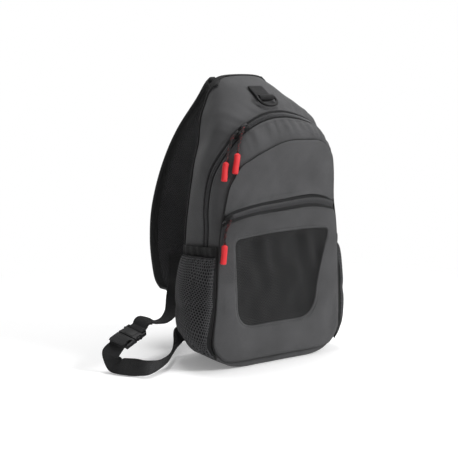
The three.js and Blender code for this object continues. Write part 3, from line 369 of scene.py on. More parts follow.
def frames_along(path, hint):
    """For each point of a path its direction, and two directions across it, the first one near the hint."""
    tangent = unit(np.gradient(path, axis=0))
    hint = np.broadcast_to(np.asarray(hint, float), path.shape)
    side = unit(hint - tangent * np.sum(hint * tangent, axis=1, keepdims=True))
    return tangent, side, np.cross(tangent, side)


def ring_faces(rings, count):
    """The quads between rings of count points each."""
    faces = []
    for i in range(rings - 1):
        for j in range(count):
            k = (j + 1) % count
            faces.append((i * count + j, i * count + k, (i + 1) * count + k, (i + 1) * count + j))
    return faces


def sweep(name, path, section, hint=(0, 0, 1), scale=None, caps=True):
    """A tube along a path. The section is a closed loop of (side, up) offsets in metres."""
    path, section = np.asarray(path, float), np.asarray(section, float)
    _, side, up = frames_along(path, hint)
    scale = np.ones(len(path)) if scale is None else np.asarray(scale, float)
    offsets = side[:, None] * section[None, :, :1] + up[:, None] * section[None, :, 1:]
    rings = path[:, None] + offsets * scale[:, None, None]
    count = len(section)
    faces = ring_faces(len(path), count)
    if caps:
        faces += [tuple(range(count))[::-1], tuple((len(path) - 1) * count + j for j in range(count))]
    run = lengths_along(path)
    around = lengths_along(section)
    uvs = np.stack(np.broadcast_arrays(around[None, :], run[:, None]), axis=-1).reshape(-1, 2)
    obj = build_mesh(name, rings.reshape(-1, 3), faces, uvs)
    return outward(obj)


def circle(radius, count, flat=1.0):
    turn = np.arange(count) * 2 * np.pi / count
    return np.stack([np.cos(turn) * radius, np.sin(turn) * radius * flat], axis=1)


def joined(objects, name):
    select_only(objects[0])
    for other in objects[1:]:
        other.select_set(True)
    bpy.ops.object.join()
    objects[0].name = name
    return objects[0]


DONE = []


def finish(obj, slot, material, *nodes, body="bag"):
    """Gives a piece its material and body, and hides the CAD nodes that it stands for. The slot is not used."""
    obj.data.materials.clear()
    obj.data.materials.append(material)
    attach(obj, body)
    if nodes:
        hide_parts(*nodes)
    DONE.append(obj.name)
    return obj


def stitches(name, path, normals, pitch=3.2 * MM, length=2.3 * MM, width=0.55 * MM, rise=0.28 * MM):
    """A line of thread stitches, each a small ridge that dips into the cloth at both ends."""
    path, normals = np.asarray(path, float), np.asarray(normals, float)
    run = lengths_along(path)
    count = max(1, int(run[-1] / pitch))
    centres = (np.arange(count) + 0.5) * run[-1] / count

    def at(distance):
        return np.stack([np.interp(distance, run, path[:, k]) for k in range(3)], axis=1)

    ends = [at(np.clip(centres + s * length / 2, 0, run[-1])) for s in (-1, 1)]
    middle, up = at(centres), unit(np.stack([np.interp(centres, run, normals[:, k]) for k in range(3)], axis=1))
    across = unit(np.cross(ends[1] - ends[0], up)) * width / 2
    low = up * 0.25 * MM
    rings = np.stack([ends[0] - low, middle - across - low * 0.2, middle + up * rise,
                      middle + across - low * 0.2, ends[1] - low, middle - low], axis=1)
    shape = [(0, 1, 2), (0, 2, 3), (1, 4, 2), (2, 4, 3), (0, 5, 1), (0, 3, 5), (1, 5, 4), (5, 3, 4)]
    faces = [tuple(k * 6 + c for c in face) for k in range(count) for face in shape]
    return outward(build_mesh(name, rings.reshape(-1, 3), faces, rings.reshape(-1, 3)[:, :2]))


# %% [markdown]
# Every surface is a procedural material. Cloth gets a weave from crossed waves in UV metres, with painted shade
# in its hollows, a faint cloudy change of tone from noise, and a rough sheen. Plastic gets a fine moulded grain
# and uneven polish.

# %% Material tools
def math_node(tree, operation, first, second=None):
    made = tree.nodes.new("ShaderNodeMath")
    made.operation = operation
    for socket, value in zip(made.inputs, (first, second)):
        if value is None:
            continue
        if isinstance(value, (int, float)):
            socket.default_value = value
        else:
            tree.links.new(value, socket)
    return made.outputs[0]


def wave_of(tree, value, pitch):
    """A smooth ripple from 0 to 1 with a pitch in metres."""
    ripple = math_node(tree, "SINE", math_node(tree, "MULTIPLY", value, 2 * math.pi / pitch))
    return math_node(tree, "ADD", math_node(tree, "MULTIPLY", ripple, 0.5), 0.5)


def weave_height(tree, kind, pitch):
    """The height of a weave over the UV map in metres."""
    uv = tree.nodes.new("ShaderNodeUVMap")
    split = tree.nodes.new("ShaderNodeSeparateXYZ")
    tree.links.new(uv.outputs[0], split.inputs[0])
    u, v = split.outputs[0], split.outputs[1]
    if kind == "plain":
        return math_node(tree, "MULTIPLY", wave_of(tree, u, pitch), wave_of(tree, v, pitch))
    if kind == "twill":
        zigzag = math_node(tree, "MULTIPLY", math_node(tree, "PINGPONG", v, 3.1 * MM), 1.2)
        cross_yarn = math_node(tree, "ADD", wave_of(tree, v, pitch * 0.5), 0.6)
        return math_node(tree, "MULTIPLY", wave_of(tree, math_node(tree, "ADD", u, zigzag), pitch), cross_yarn)
    if kind == "mesh":
        lanes = [wave_of(tree, math_node(tree, way, u, v), pitch) for way in ("ADD", "SUBTRACT")]
        return math_node(tree, "MAXIMUM", *lanes)
    return wave_of(tree, v, pitch)


def noise_of(tree, place, scale, detail):
    """Cloudy noise from 0 to 1 over the object's own axes."""
    made = tree.nodes.new("ShaderNodeTexNoise")
    made.inputs["Scale"].default_value = scale
    made.inputs["Detail"].default_value = detail
    tree.links.new(place, made.inputs["Vector"])
    return made.outputs[0]


def around_zero(tree, value, amount):
    return math_node(tree, "MULTIPLY", math_node(tree, "SUBTRACT", value, 0.5), amount)


def new_material(name):
    """A material with its node tree, its shader and the object's own axes."""
    material = bpy.data.materials.new(name)
    material.use_nodes = True
    tree = material.node_tree
    return material, tree, tree.nodes["Principled BSDF"], tree.nodes.new("ShaderNodeTexCoord").outputs["Object"]


def tint(tree, shader, color, tone):
    mix = tree.nodes.new("ShaderNodeVectorMath")
    mix.operation = "SCALE"
    mix.inputs[0].default_value = color
    tree.links.new(tone, mix.inputs["Scale"])
    tree.links.new(mix.outputs[0], shader.inputs["Base Color"])


def relief(tree, shader, height, distance, strength):
    bump = tree.nodes.new("ShaderNodeBump")
    bump.inputs["Distance"].default_value = distance
    bump.inputs["Strength"].default_value = strength
    tree.links.new(height, bump.inputs["Height"])
    tree.links.new(bump.outputs[0], shader.inputs["Normal"])


def cloth_material(name, color, kind="plain", pitch=0.9 * MM, rough=0.85, depth=0.12 * MM, shade=0.55,
                   mottle=0.22, sheen=0.25):
    """Woven cloth. Its colour is painted darker in the hollows of the weave, as shade, down to the share shade of the
    colour; mottle is the spread of tone.
    """
    material, tree, shader, place = new_material(name)
    height = weave_height(tree, kind, pitch)
    cloud, fleck = noise_of(tree, place, 22.0, 5.0), noise_of(tree, place, 900.0, 2.0)
    # Painted shade: the tone falls with the height of the weave, so its hollows are darker.
    tone = math_node(tree, "ADD", math_node(tree, "MULTIPLY", height, 1 - shade), shade + (1 - shade) * 0.25)
    tone = math_node(tree, "ADD", around_zero(tree, fleck, mottle), tone)
    tone = math_node(tree, "ADD", around_zero(tree, cloud, mottle * 2), tone)
    tint(tree, shader, color, tone)
    relief(tree, shader, height, depth, 1.0)
    shader.inputs["Roughness"].default_value = rough
    shader.inputs["Sheen Weight"].default_value = sheen
    shader.inputs["Sheen Roughness"].default_value = 0.5
    shader.inputs["Specular IOR Level"].default_value = 0.3
    return material


def moulded_material(name, color, rough=0.42, grain=0.05 * MM, mottle=0.2, specular=0.5):
    material, tree, shader, place = new_material(name)
    fine, cloud = noise_of(tree, place, 1400.0, 3.0), noise_of(tree, place, 90.0, 4.0)
    tint(tree, shader, color, math_node(tree, "ADD", around_zero(tree, cloud, mottle * 2), 1.0))
    polish = math_node(tree, "ADD", math_node(tree, "MULTIPLY", cloud, 0.22), rough - 0.11)
    tree.links.new(polish, shader.inputs["Roughness"])
    relief(tree, shader, fine, grain, 0.6)
    shader.inputs["Specular IOR Level"].default_value = specular
    return material


def add_flecks(material, color, scale, share):
    """Small spots of a second yarn in a cloth material."""
    tree = material.node_tree
    shader = tree.nodes["Principled BSDF"]
    base = shader.inputs["Base Color"].links[0].from_socket
    place = tree.nodes.new("ShaderNodeTexCoord")
    cells = tree.nodes.new("ShaderNodeTexVoronoi")
    cells.inputs["Scale"].default_value = scale
    tree.links.new(place.outputs["Object"], cells.inputs["Vector"])
    split = tree.nodes.new("ShaderNodeSeparateColor")
    tree.links.new(cells.outputs["Color"], split.inputs[0])
    spot = math_node(tree, "GREATER_THAN", split.outputs[0], 1 - share)
    mix = tree.nodes.new("ShaderNodeMix")
    mix.data_type = "RGBA"
    tree.links.new(spot, mix.inputs["Factor"])
    tree.links.new(base, mix.inputs[6])
    mix.inputs[7].default_value = (*color, 1)
    tree.links.new(mix.outputs[2], shader.inputs["Base Color"])


# %% Materials
GREY = cloth_material("grey_oxford", (0.084, 0.084, 0.087), pitch=1.3 * MM, depth=0.22 * MM, shade=0.4,
                      mottle=0.3, sheen=0.06)
# Near-black lining: the divider's cloth, darkened to paint the shade inside the pocket, and the sheets of painted
# shade behind the side nets.
LINING_AND_SHADE = cloth_material("lining_and_painted_shade", (0.006, 0.006, 0.0065), pitch=1.0 * MM, sheen=0.0)
WEBBING = cloth_material("webbing_twill", (0.020, 0.020, 0.021), kind="twill", pitch=1.7 * MM, depth=0.4 * MM,
                         shade=0.3, mottle=0.4, sheen=0.05)
BINDING = cloth_material("binding_tape", (0.0085, 0.0085, 0.009), kind="rib", pitch=0.8 * MM, sheen=0.1)
AIR_MESH = cloth_material("air_mesh", (0.034, 0.034, 0.036), kind="mesh", pitch=4.2 * MM, depth=0.9 * MM,
                          shade=0.05, mottle=0.3, sheen=0.03)
FINE_NET = cloth_material("fine_net", (0.023, 0.023, 0.024), pitch=0.8 * MM, rough=0.5, depth=0.1 * MM,
                          mottle=0.3, sheen=0.05)
NET_YARN = cloth_material("net_yarn", (0.088, 0.088, 0.092), pitch=0.6 * MM, depth=0.1 * MM, mottle=0.3,
                          sheen=0.05)
ELASTIC = cloth_material("elastic", (0.010, 0.010, 0.0105), kind="rib", pitch=1.1 * MM, depth=0.3 * MM,
                         sheen=0.05)
ZIP_TAPE = cloth_material("zip_tape", (0.016, 0.016, 0.017), kind="twill", pitch=1.0 * MM, depth=0.15 * MM,
                          sheen=0.05)
COIL = moulded_material("zip_coil", (0.085, 0.085, 0.089), rough=0.5)
THREAD_GREY = cloth_material("thread_grey", (0.17, 0.17, 0.175), kind="rib", pitch=0.5 * MM, rough=0.7, sheen=0.05)
THREAD_DARK = cloth_material("thread_dark", (0.016, 0.016, 0.017), kind="rib", pitch=0.5 * MM, rough=0.7,
                             sheen=0.05)
CORD = cloth_material("braided_cord", (0.011, 0.011, 0.0115), kind="mesh", pitch=0.9 * MM, depth=0.2 * MM,
                      rough=0.7, sheen=0.05)
PLASTIC = moulded_material("black_acetal", (0.0075, 0.0075, 0.008), rough=0.5, specular=0.26)
# A lighter grey plastic, for the raised panel on top of the buckle.
PLASTIC_LIGHTER = moulded_material("black_acetal_panel", (0.024, 0.024, 0.026), rough=0.5)
RUBBER = moulded_material("red_rubber", (0.61, 0.022, 0.028), rough=0.5, grain=0.03 * MM, mottle=0.08,
                          specular=0.3)
add_flecks(CORD, (0.14, 0.012, 0.014), scale=900.0, share=0.20)
print("materials:", len(bpy.data.materials))

# %% [markdown]
# The studio is a white floor that fades into a white world. The world is bright to the camera, and gives the
# bag less light from the left than from the right, so the left side of the bag stays darker than its front.
# The key light stands in front on the right, a weak one fills beside it, and one hangs above.

# %% Studio
WHITE = (1, 1, 1, 1)
FLOOR_SIZE, FLOOR_LEVEL = 14, -0.6 * MM
FADE_START, FADE_END = 0.28, 0.75
WORLD_LEFT, WORLD_RIGHT, WORLD_SEEN = 0.05, 0.95, 1.0


def map_range(tree, value, **limits):
    """A linear change of range; the limits are the node's own inputs, such as From_Min."""
    made = tree.nodes.new("ShaderNodeMapRange")
    for key, limit in limits.items():
        made.inputs[key.replace("_", " ")].default_value = limit
    tree.links.new(value, made.inputs["Value"])
    return made


bpy.ops.mesh.primitive_plane_add(size=FLOOR_SIZE, location=(0, 0, FLOOR_LEVEL))
floor = bpy.context.object
floor.name = "floor"
floor_material, tree, shader, place = new_material("paper_floor")
ramp = tree.nodes.new("ShaderNodeValToRGB")
ramp.color_ramp.elements[0].color = (0.88, 0.88, 0.882, 1)
ramp.color_ramp.elements[1].color = (0.92, 0.92, 0.922, 1)
tree.links.new(noise_of(tree, place, 3.0, 2.0), ramp.inputs[0])
tree.links.new(ramp.outputs[0], shader.inputs["Base Color"])
shader.inputs["Roughness"].default_value = 0.9
shader.inputs["Emission Color"].default_value = WHITE
shader.inputs["Emission Strength"].default_value = 0.2
distance = tree.nodes.new("ShaderNodeVectorMath")
distance.operation = "LENGTH"
tree.links.new(place, distance.inputs[0])
fade = map_range(tree, distance.outputs["Value"], From_Min=FADE_START, From_Max=FADE_END)
fade.interpolation_type = "SMOOTHSTEP"
glow = tree.nodes.new("ShaderNodeEmission")
glow.inputs["Color"].default_value = WHITE
blend = tree.nodes.new("ShaderNodeMixShader")
for socket, source in zip(blend.inputs, (fade.outputs["Result"], shader.outputs[0], glow.outputs[0])):
    tree.links.new(source, socket)
tree.links.new(blend.outputs[0], tree.nodes["Material Output"].inputs["Surface"])
floor.data.materials.append(floor_material)

world = bpy.data.worlds.new("studio")
bpy.context.scene.world = world
world.use_nodes = True
tree = world.node_tree
split = tree.nodes.new("ShaderNodeSeparateXYZ")
tree.links.new(tree.nodes.new("ShaderNodeTexCoord").outputs["Generated"], split.inputs[0])
from_side = map_range(tree, split.outputs["X"], From_Min=-1.0, To_Min=WORLD_LEFT, To_Max=WORLD_RIGHT)
strength = map_range(tree, tree.nodes.new("ShaderNodeLightPath").outputs["Is Camera Ray"], To_Max=WORLD_SEEN)
tree.links.new(from_side.outputs["Result"], strength.inputs["To Min"])
tree.links.new(strength.outputs["Result"], tree.nodes["Background"].inputs["Strength"])
tree.nodes["Background"].inputs["Color"].default_value = WHITE

LIGHT_TARGET = (0, 0, 0.2)
for name, spot, size, power in (("key", (1.05, -1.6, 1.4), 0.8, 35), ("fill", (1.7, -0.9, 0.7), 0.9, 2.5),
                                ("top", (0.1, 0.2, 1.9), 0.8, 16)):
    bpy.ops.object.light_add(type="AREA", location=spot)
    light = bpy.context.object
    light.name = name
    light.data.shape = "DISK"
    light.data.size = size
    light.data.energy = power
    light.rotation_euler = (Vector(LIGHT_TARGET) - Vector(spot)).to_track_quat("-Z", "Y").to_euler()
bpy.context.scene.view_settings.view_transform = "Standard"


# %% [markdown]
# The body of the bag is one cloth from the back seam to the front seam, all the way round, with a slot for the
# main zip. The fine loft gets what a sewn cloth shows: slack between the seams, dents on its sides, and short
# pinched folds that run out from the zip line, where the curve of the tape gathers the cloth.

# %% Slack and folds
def bumps(grid, scale, seed):
    """Smooth noise from -1 to 1 over a grid of points: a sum of waves in set directions."""
    rng = np.random.default_rng(seed)
    total = np.zeros(grid.shape[:-1])
    for _ in range(9):
        way = unit(rng.normal(size=3)) * 2 * np.pi / (scale * rng.uniform(0.7, 1.6))
        total += np.sin(grid @ way + rng.uniform(0, 6.28))
    return total / 4.5


SOLE_RISE, SOLE_BLEND = 6 * MM, 20 * MM
SHOULDER_RISE, SHOULDER_BLEND = 220 * MM, 80 * MM
WIDE_SLACK, FINE_SLACK = 1.5 * MM, 0.5 * MM
PINCH_DEPTH, CREASE_DEPTH, ROLL_DEPTH = 0.95 * MM, 1.3 * MM, 0.5 * MM
PINCH_PITCH, PUCKER_PITCH, CREASE_PITCH = 13.5 * MM, 31 * MM, 24 * MM
columns = np.arange(FINE.shape[1])
rear_mask = np.sin(np.pi * np.clip(columns / REAR_LAST, 0, 1)) ** 0.7
rear_mask[REAR_LAST:] = 0
fore_mask = np.zeros(len(columns))
fore_count = len(columns) - FORE_FIRST
fore_mask[FORE_FIRST:] = np.sin(np.pi * np.arange(fore_count) / (fore_count - 1)) ** 0.7
sole_mask = smooth((FINE[:, :, 2] - SOLE_RISE) / SOLE_BLEND)
slack = bumps(FINE, 0.085, 4) * WIDE_SLACK + bumps(FINE, 0.035, 7) * FINE_SLACK
shoulder = smooth((FINE[:, :, 2] - SHOULDER_RISE) / SHOULDER_BLEND)
near_zip_rear = np.exp(-((REAR_LAST - columns) / 7.0) ** 2) * (columns <= REAR_LAST)
near_zip_fore = np.exp(-((columns - FORE_FIRST) / 8.0) ** 2) * (columns >= FORE_FIRST)
zip_run = lengths_along(np.concatenate([FINE[:, REAR_LAST], FINE[:1, REAR_LAST]]))[:-1]
pinch = (np.sin(zip_run * 2 * np.pi / PINCH_PITCH + 1.4 * np.sin(zip_run * 31)) * 0.55
         + np.sin(zip_run * 2 * np.pi / PUCKER_PITCH + 2.0) * 0.6)
crease = (np.abs(((zip_run / CREASE_PITCH + 0.3 * np.sin(zip_run * 17)) % 1) - 0.5) * 2) ** 3
near_zip = (near_zip_rear * 0.8 + near_zip_fore) * (rear_mask ** 0.4 + fore_mask ** 0.4)
offset = slack * (rear_mask + fore_mask)[None, :]
offset += (pinch * PINCH_DEPTH - crease * CREASE_DEPTH)[:, None] * shoulder * near_zip[None, :]
body_grid = FINE + FINE_NORMALS * (offset * sole_mask)[:, :, None]
edge_roll = sum(np.exp(-((columns - j) / 1.1) ** 2) for j in (REAR_LAST, FORE_FIRST))
edge_roll[REAR_LAST + 1:FORE_FIRST] = 0
body_grid += FINE_NORMALS * (edge_roll * ROLL_DEPTH)[None, :, None] * shoulder[:, :, None]
body_grid[:, :, 2] = np.maximum(body_grid[:, :, 2], 0.2 * MM)


def in_slot(i, j):
    return REAR_LAST <= j < FORE_FIRST and ZIP_FIRST * ROW_STEPS <= i < ZIP_LAST * ROW_STEPS


shell = grid_object("gusset_cloth", body_grid, closed=True, keep=lambda i, j: not in_slot(i, j),
                    normals=FINE_NORMALS, thickness=1.3 * MM)
finish(shell, "grey_cloth", GREY, "body_shell")
print("gusset cloth:", len(shell.data.polygons), "faces")

# %% [markdown]
# The main zip lies in the slot. Its tape is one strip, and over its middle runs the coil: a row of small ribs,
# each of few faces. On both sides the cloth is turned under and held by a line of stitches.

# %% Main zip
def strip_between(first, second, shares):
    return np.stack([first + (second - first) * s for s in shares], axis=1)


zip_rows = slice(ZIP_FIRST * ROW_STEPS, ZIP_LAST * ROW_STEPS + 1)
zip_edges = FINE[zip_rows, REAR_LAST], FINE[zip_rows, FORE_FIRST]
zip_normal = unit(FINE_NORMALS[zip_rows, REAR_LAST] + FINE_NORMALS[zip_rows, FORE_FIRST])
crown = np.array([-0.9, -0.4, 0.1, 0.35, 0.1, -0.4, -0.9]) * MM
tape_grid = strip_between(*zip_edges, np.linspace(-0.04, 1.04, 7)) + zip_normal[:, None] * crown[None, :, None]
tape_obj = grid_object("main_zip_tape", tape_grid, normals=np.repeat(zip_normal[:, None], 7, axis=1),
                       thickness=0.9 * MM)
finish(tape_obj, "black_cloth", ZIP_TAPE, "main_zip")


def ribs(name, line, across, normals, pitch, half_width, rise, slant=0.0):
    """A row of low ribs over a line, as the coil of a zip shows through its tape."""
    run = lengths_along(line)
    count = int(run[-1] / pitch)
    at = (np.arange(count) + 0.5) * run[-1] / count
    mid = np.stack([np.interp(at, run, line[:, k]) for k in range(3)], axis=1)
    side = unit(np.stack([np.interp(at, run, across[:, k]) for k in range(3)], axis=1))
    up = unit(np.stack([np.interp(at, run, normals[:, k]) for k in range(3)], axis=1))
    ahead = np.cross(side, up)
    half = pitch * 0.34
    points, faces = [], []
    for s, tall in ((-1.0, 0.0), (-0.78, 0.85), (0.0, 1.0), (0.78, 0.85), (1.0, 0.0)):
        base = mid + side * (s * half_width) + ahead * (slant * s)
        points += [base - ahead * half - up * 0.2 * MM, base + up * rise * tall, base + ahead * half - up * 0.2 * MM]
    points = np.stack(points, axis=1)
    for k in range(count):
        o = k * 15
        for r in range(4):
            a = o + r * 3
            faces += [(a, a + 1, a + 4, a + 3), (a + 1, a + 2, a + 5, a + 4), (a + 2, a, a + 3, a + 5)]
        faces += [(o, o + 2, o + 1), (o + 12, o + 13, o + 14)]
    return outward(build_mesh(name, points.reshape(-1, 3), faces, points.reshape(-1, 3)[:, :2]))


zip_middle = (zip_edges[0] + zip_edges[1]) / 2 + zip_normal * 0.3 * MM
zip_across = unit(zip_edges[1] - zip_edges[0])
coil = ribs("main_zip_coil", zip_middle + zip_across * 0.6 * MM, zip_across, zip_normal, pitch=1.6 * MM,
            half_width=3.1 * MM, rise=0.75 * MM)
finish(coil, "black_plastic", COIL)
lines = []
for s, shift in ((0, -1), (1, 1)):
    edge_line = zip_edges[s] - zip_across * shift * 2.2 * MM - zip_normal * 0.1 * MM
    lines.append(sweep("zip_edge", edge_line[::2], circle(0.55 * MM, 6), zip_across[::2]))
finish(joined(lines, "main_zip_edges"), "black_cloth", BINDING)

sewn = []
for column, step in ((REAR_LAST, -1), (FORE_FIRST, 1)):
    line = body_grid[zip_rows, column + step * 2] * 0.5 + body_grid[zip_rows, column + step] * 0.5
    out = FINE_NORMALS[zip_rows, column]
    sewn.append(stitches("zip_stitch", line + out * 0.15 * MM, out))
finish(joined(sewn, "main_zip_stitching"), "grey_cloth", THREAD_DARK)
print("zip coil ribs and stitching made")

# %% [markdown]
# The front of the pocket is a shallow cushion: flat in the middle, and turned back along the front seam. Its
# surface is a function of the distance to the seam, so each piece on it can ask for the depth at any place.

# %% Face of the pocket
FRONT_STEPS = 4
FRONT_LOOP = catmull(FRONT, FRONT_STEPS, closed=True)
POCKET_CROWN, POCKET_EDGE = 5 * MM, 40 * MM


def seam_distance(x, z):
    a, b = FRONT[:, [0, 2]], np.roll(FRONT[:, [0, 2]], -1, axis=0)
    p = np.stack([np.atleast_1d(x), np.atleast_1d(z)], axis=-1)[..., None, :]
    d = b - a
    t = np.clip(np.sum((p - a) * d, axis=-1) / np.sum(d * d, axis=-1), 0, 1)
    return np.min(np.linalg.norm(p - a - d * t[..., None], axis=-1), axis=-1)


def face_y(x, z):
    t = np.minimum(seam_distance(x, z) / POCKET_EDGE, 1)
    return front_seam_y(np.atleast_1d(z)) - CLOTH - 2 * GAP - POCKET_CROWN * (1 - (1 - t) ** 2)


def on_face(x, z, lift=0.0):
    x, z = np.broadcast_arrays(np.asarray(x, float), np.asarray(z, float))
    return np.stack([x, face_y(x.ravel(), z.ravel()).reshape(x.shape) - lift, z], axis=-1)


def facing(points):
    """The direction to the front, once for each point."""
    return np.broadcast_to(np.array([0.0, -1.0, 0.0]), np.shape(points))


# Columns: the x and z shares of the tape's upper edge, then of its lower edge.
POCKET_ZIP = np.array([
    [-0.885, 0.5355, -0.915, 0.4965],
    [-0.785, 0.549, -0.795, 0.508],
    [-0.6, 0.5605, -0.6, 0.5205],
    [-0.35, 0.5695, -0.35, 0.5295],
    [-0.05, 0.576, -0.05, 0.534],
    [0.35, 0.5855, 0.35, 0.54],
    [0.55, 0.5835, 0.55, 0.5385],
    [0.71, 0.574, 0.715, 0.532],
    [0.875, 0.557, 0.895, 0.521],
])
zip_points = catmull(POCKET_ZIP, 6)
POCKET_TOP = np.stack([zip_points[:, 0] * HALF_WIDTH, height_at(zip_points[:, 1])], axis=1)
POCKET_LOW = np.stack([zip_points[:, 2] * HALF_WIDTH, height_at(zip_points[:, 3])], axis=1)


def resample(line, count):
    run = lengths_along(line)
    at = np.linspace(0, run[-1], count)
    return np.stack([np.interp(at, run, line[:, k]) for k in range(line.shape[1])], axis=1)


def slack_on(grid, seed, amount=1.1 * MM):
    """Moves a face grid in and out by soft noise, away from its edges."""
    rim = smooth(seam_distance(grid[..., 0].ravel(), grid[..., 2].ravel()).reshape(grid.shape[:-1]) / 0.012)
    grid = grid.copy()
    grid[..., 1] += (bumps(grid, 0.06, seed) * amount + bumps(grid, 0.022, seed + 1) * amount * 0.35) * rim
    return grid


FRONT_POINTS = np.arange(len(FRONT_LOOP))
OVER_ZIP = (FRONT_POINTS > ZIP_FIRST * FRONT_STEPS) & (FRONT_POINTS < ZIP_LAST * FRONT_STEPS)
start_z, end_z = POCKET_TOP[0, 1], POCKET_TOP[-1, 1]
arch = FRONT_LOOP[OVER_ZIP]
arch = arch[[p[2] > (start_z if k < len(arch) / 2 else end_z) + 1 * MM for k, p in enumerate(arch)]]
arch = resample(arch[:, [0, 2]], 97)
low_edge = resample(POCKET_TOP, 97)
shares = np.linspace(0, 1, 25)
upper = low_edge[None] + (arch - low_edge)[None] * shares[:, None, None]
upper_grid = slack_on(on_face(upper[..., 0], upper[..., 1]), 21)
flap = np.exp(-(shares * 25 / 1.6) ** 2)[:, None]
upper_grid[..., 1] -= flap * 1.0 * MM
upper_obj = grid_object("pocket_top_cloth", upper_grid, normals=facing(upper_grid), thickness=1.5 * MM)
finish(upper_obj, "grey_cloth", GREY, "pocket_front_upper")
flap_line = upper_grid[2] + np.array([0, -0.1 * MM, 0])
finish(stitches("pocket_flap_stitching", flap_line, facing(flap_line), pitch=3.4 * MM), "grey_cloth", THREAD_DARK)

# %% Window shape
def quadratic(start, control, end, count=8):
    t = np.linspace(0, 1, count + 1)[1:, None]
    start, control, end = map(np.array, (start, control, end))
    return (1 - t) ** 2 * start + 2 * t * (1 - t) * control + t * t * end


outline = [np.array([(-0.735, 0.21), (-0.765, 0.425)]),
           quadratic((-0.765, 0.425), (-0.77, 0.45), (-0.69, 0.455)),
           quadratic((-0.69, 0.455), (0.1, 0.48), (0.74, 0.463), 24),
           quadratic((0.74, 0.463), (0.82, 0.46), (0.8, 0.44)),
           quadratic((0.8, 0.44), (0.63, 0.3), (0.6, 0.22), 16),
           quadratic((0.6, 0.22), (0.56, 0.135), (0.25, 0.134), 12),
           np.array([(-0.45, 0.134)]),
           quadratic((-0.45, 0.134), (-0.72, 0.134), (-0.735, 0.21), 12)[:-1]]
outline = np.concatenate(outline)
WINDOW = np.stack([outline[:, 0] * HALF_WIDTH, height_at(outline[:, 1])], axis=1)
WINDOW_EYE = np.array([-0.04 * HALF_WIDTH, height_at(0.3)])


def ray_hits(line, angles):
    """Where rays from the middle of the window meet a closed line, for each angle."""
    a, b = line, np.roll(line, -1, axis=0)
    e = b - a
    found = []
    for angle in angles:
        d = np.array([math.cos(angle), math.sin(angle)])
        det = d[0] * e[:, 1] - d[1] * e[:, 0]
        det = np.where(np.abs(det) < 1e-12, 1e-12, det)
        r = a - WINDOW_EYE
        t = (r[:, 0] * e[:, 1] - r[:, 1] * e[:, 0]) / det
        s = (r[:, 0] * d[1] - r[:, 1] * d[0]) / det
        good = (t > 0) & (s >= -1e-6) & (s <= 1 + 1e-6)
        found.append(WINDOW_EYE + d * np.max(t[good]))
    return np.array(found)


below = np.array([p[[0, 2]] for p, over in zip(FRONT_LOOP, OVER_ZIP)
                  if not over or p[2] < POCKET_LOW[0 if p[0] < 0 else -1, 1] - 1 * MM])
order = np.argsort(np.unwrap(np.arctan2(below[:, 1] - WINDOW_EYE[1], below[:, 0] - WINDOW_EYE[0])))
low_loop = np.concatenate([POCKET_LOW, below[order]])
angle_of = np.arctan2(low_loop[:, 1] - WINDOW_EYE[1], low_loop[:, 0] - WINDOW_EYE[0])
low_loop = low_loop[np.argsort(angle_of)]
angles = np.sort(np.concatenate([np.linspace(-np.pi, np.pi, 181)[:-1], np.sort(angle_of)]))
angles = angles[np.concatenate([[True], np.diff(angles) > 1e-3])]
outer, inner = ray_hits(low_loop, angles), ray_hits(WINDOW, angles)
shares = np.linspace(0, 1, 13)
lower = outer[:, None] + (inner - outer)[:, None] * shares[None, :, None]
lower_grid = slack_on(on_face(lower[..., 0], lower[..., 1]), 31, 0.9 * MM)
lower_obj = grid_object("pocket_low_cloth", lower_grid, closed=True, normals=facing(lower_grid),
                        thickness=1.5 * MM)
finish(lower_obj, "grey_cloth", GREY, "pocket_front_lower")

# %% [markdown]
# The window is a fine black net behind the opening. It hangs a little slack, with upright ripples under its top
# hem. The grey cloth is turned under round the opening, and the top edge has a pale dashed topstitch.

# %% Window net, hem and topstitch
def to_window_edge(x, z):
    """How far points are from the window's outline."""
    a, b = WINDOW, np.roll(WINDOW, -1, axis=0)
    d = b - a
    px, pz = np.atleast_1d(x)[:, None], np.atleast_1d(z)[:, None]
    t = np.clip(((px - a[:, 0]) * d[:, 0] + (pz - a[:, 1]) * d[:, 1]) / np.sum(d * d, axis=1), 0, 1)
    return np.min(np.hypot(px - a[:, 0] - d[:, 0] * t, pz - a[:, 1] - d[:, 1] * t), axis=1)


def inside_window(x, z, grow):
    """True for points inside the window's outline, or as near to it as grow."""
    a, b = WINDOW, np.roll(WINDOW, -1, axis=0)
    x, z = np.atleast_1d(x)[:, None], np.atleast_1d(z)[:, None]
    crosses = (a[:, 1] > z) != (b[:, 1] > z)
    at_x = a[:, 0] + (z - a[:, 1]) * (b[:, 0] - a[:, 0]) / np.where(b[:, 1] == a[:, 1], 1e-12, b[:, 1] - a[:, 1])
    inside = (np.sum(crosses & (x < at_x), axis=1) % 2).astype(bool)
    return inside | (to_window_edge(x[:, 0], z[:, 0]) < grow)


def hexagons(wide, tall, pitch_u, pitch_v, hole, keep=None):
    """A flat net of six-sided holes: corners as pairs in metres, and the quads round each hole."""
    columns, rows = int(wide / pitch_u), int(tall / pitch_v)
    rim = np.array([(0, 0.667), (0.5, 0.333), (0.5, -0.333), (0, -0.667), (-0.5, -0.333), (-0.5, 0.333)])
    cells = [((c + 0.5 + (0.5 if r % 2 else 0.0)), r + 0.5) for r in range(rows) for c in range(columns - r % 2)]
    cells = np.array(cells)
    if keep is not None:
        cells = cells[keep(cells[:, 0] / columns * wide, cells[:, 1] / rows * tall)]
    index, corners, quads = {}, [], []
    for cu, cv in cells:
        outer_ids = []
        for x, y in rim:
            key = (round((cu + x) * 2), round((cv + y) * 3))
            if key not in index:
                index[key] = len(corners)
                corners.append((cu + x, cv + y))
            outer_ids.append(index[key])
        first = len(corners)
        corners += [(cu + x * hole, cv + y * hole) for x, y in rim]
        quads += [(outer_ids[k], outer_ids[(k + 1) % 6], first + (k + 1) % 6, first + k) for k in range(6)]
    return np.array(corners) * [wide / columns, tall / rows], quads


SAG_BACK, RIPPLE = 2.2 * MM, 2.9 * MM


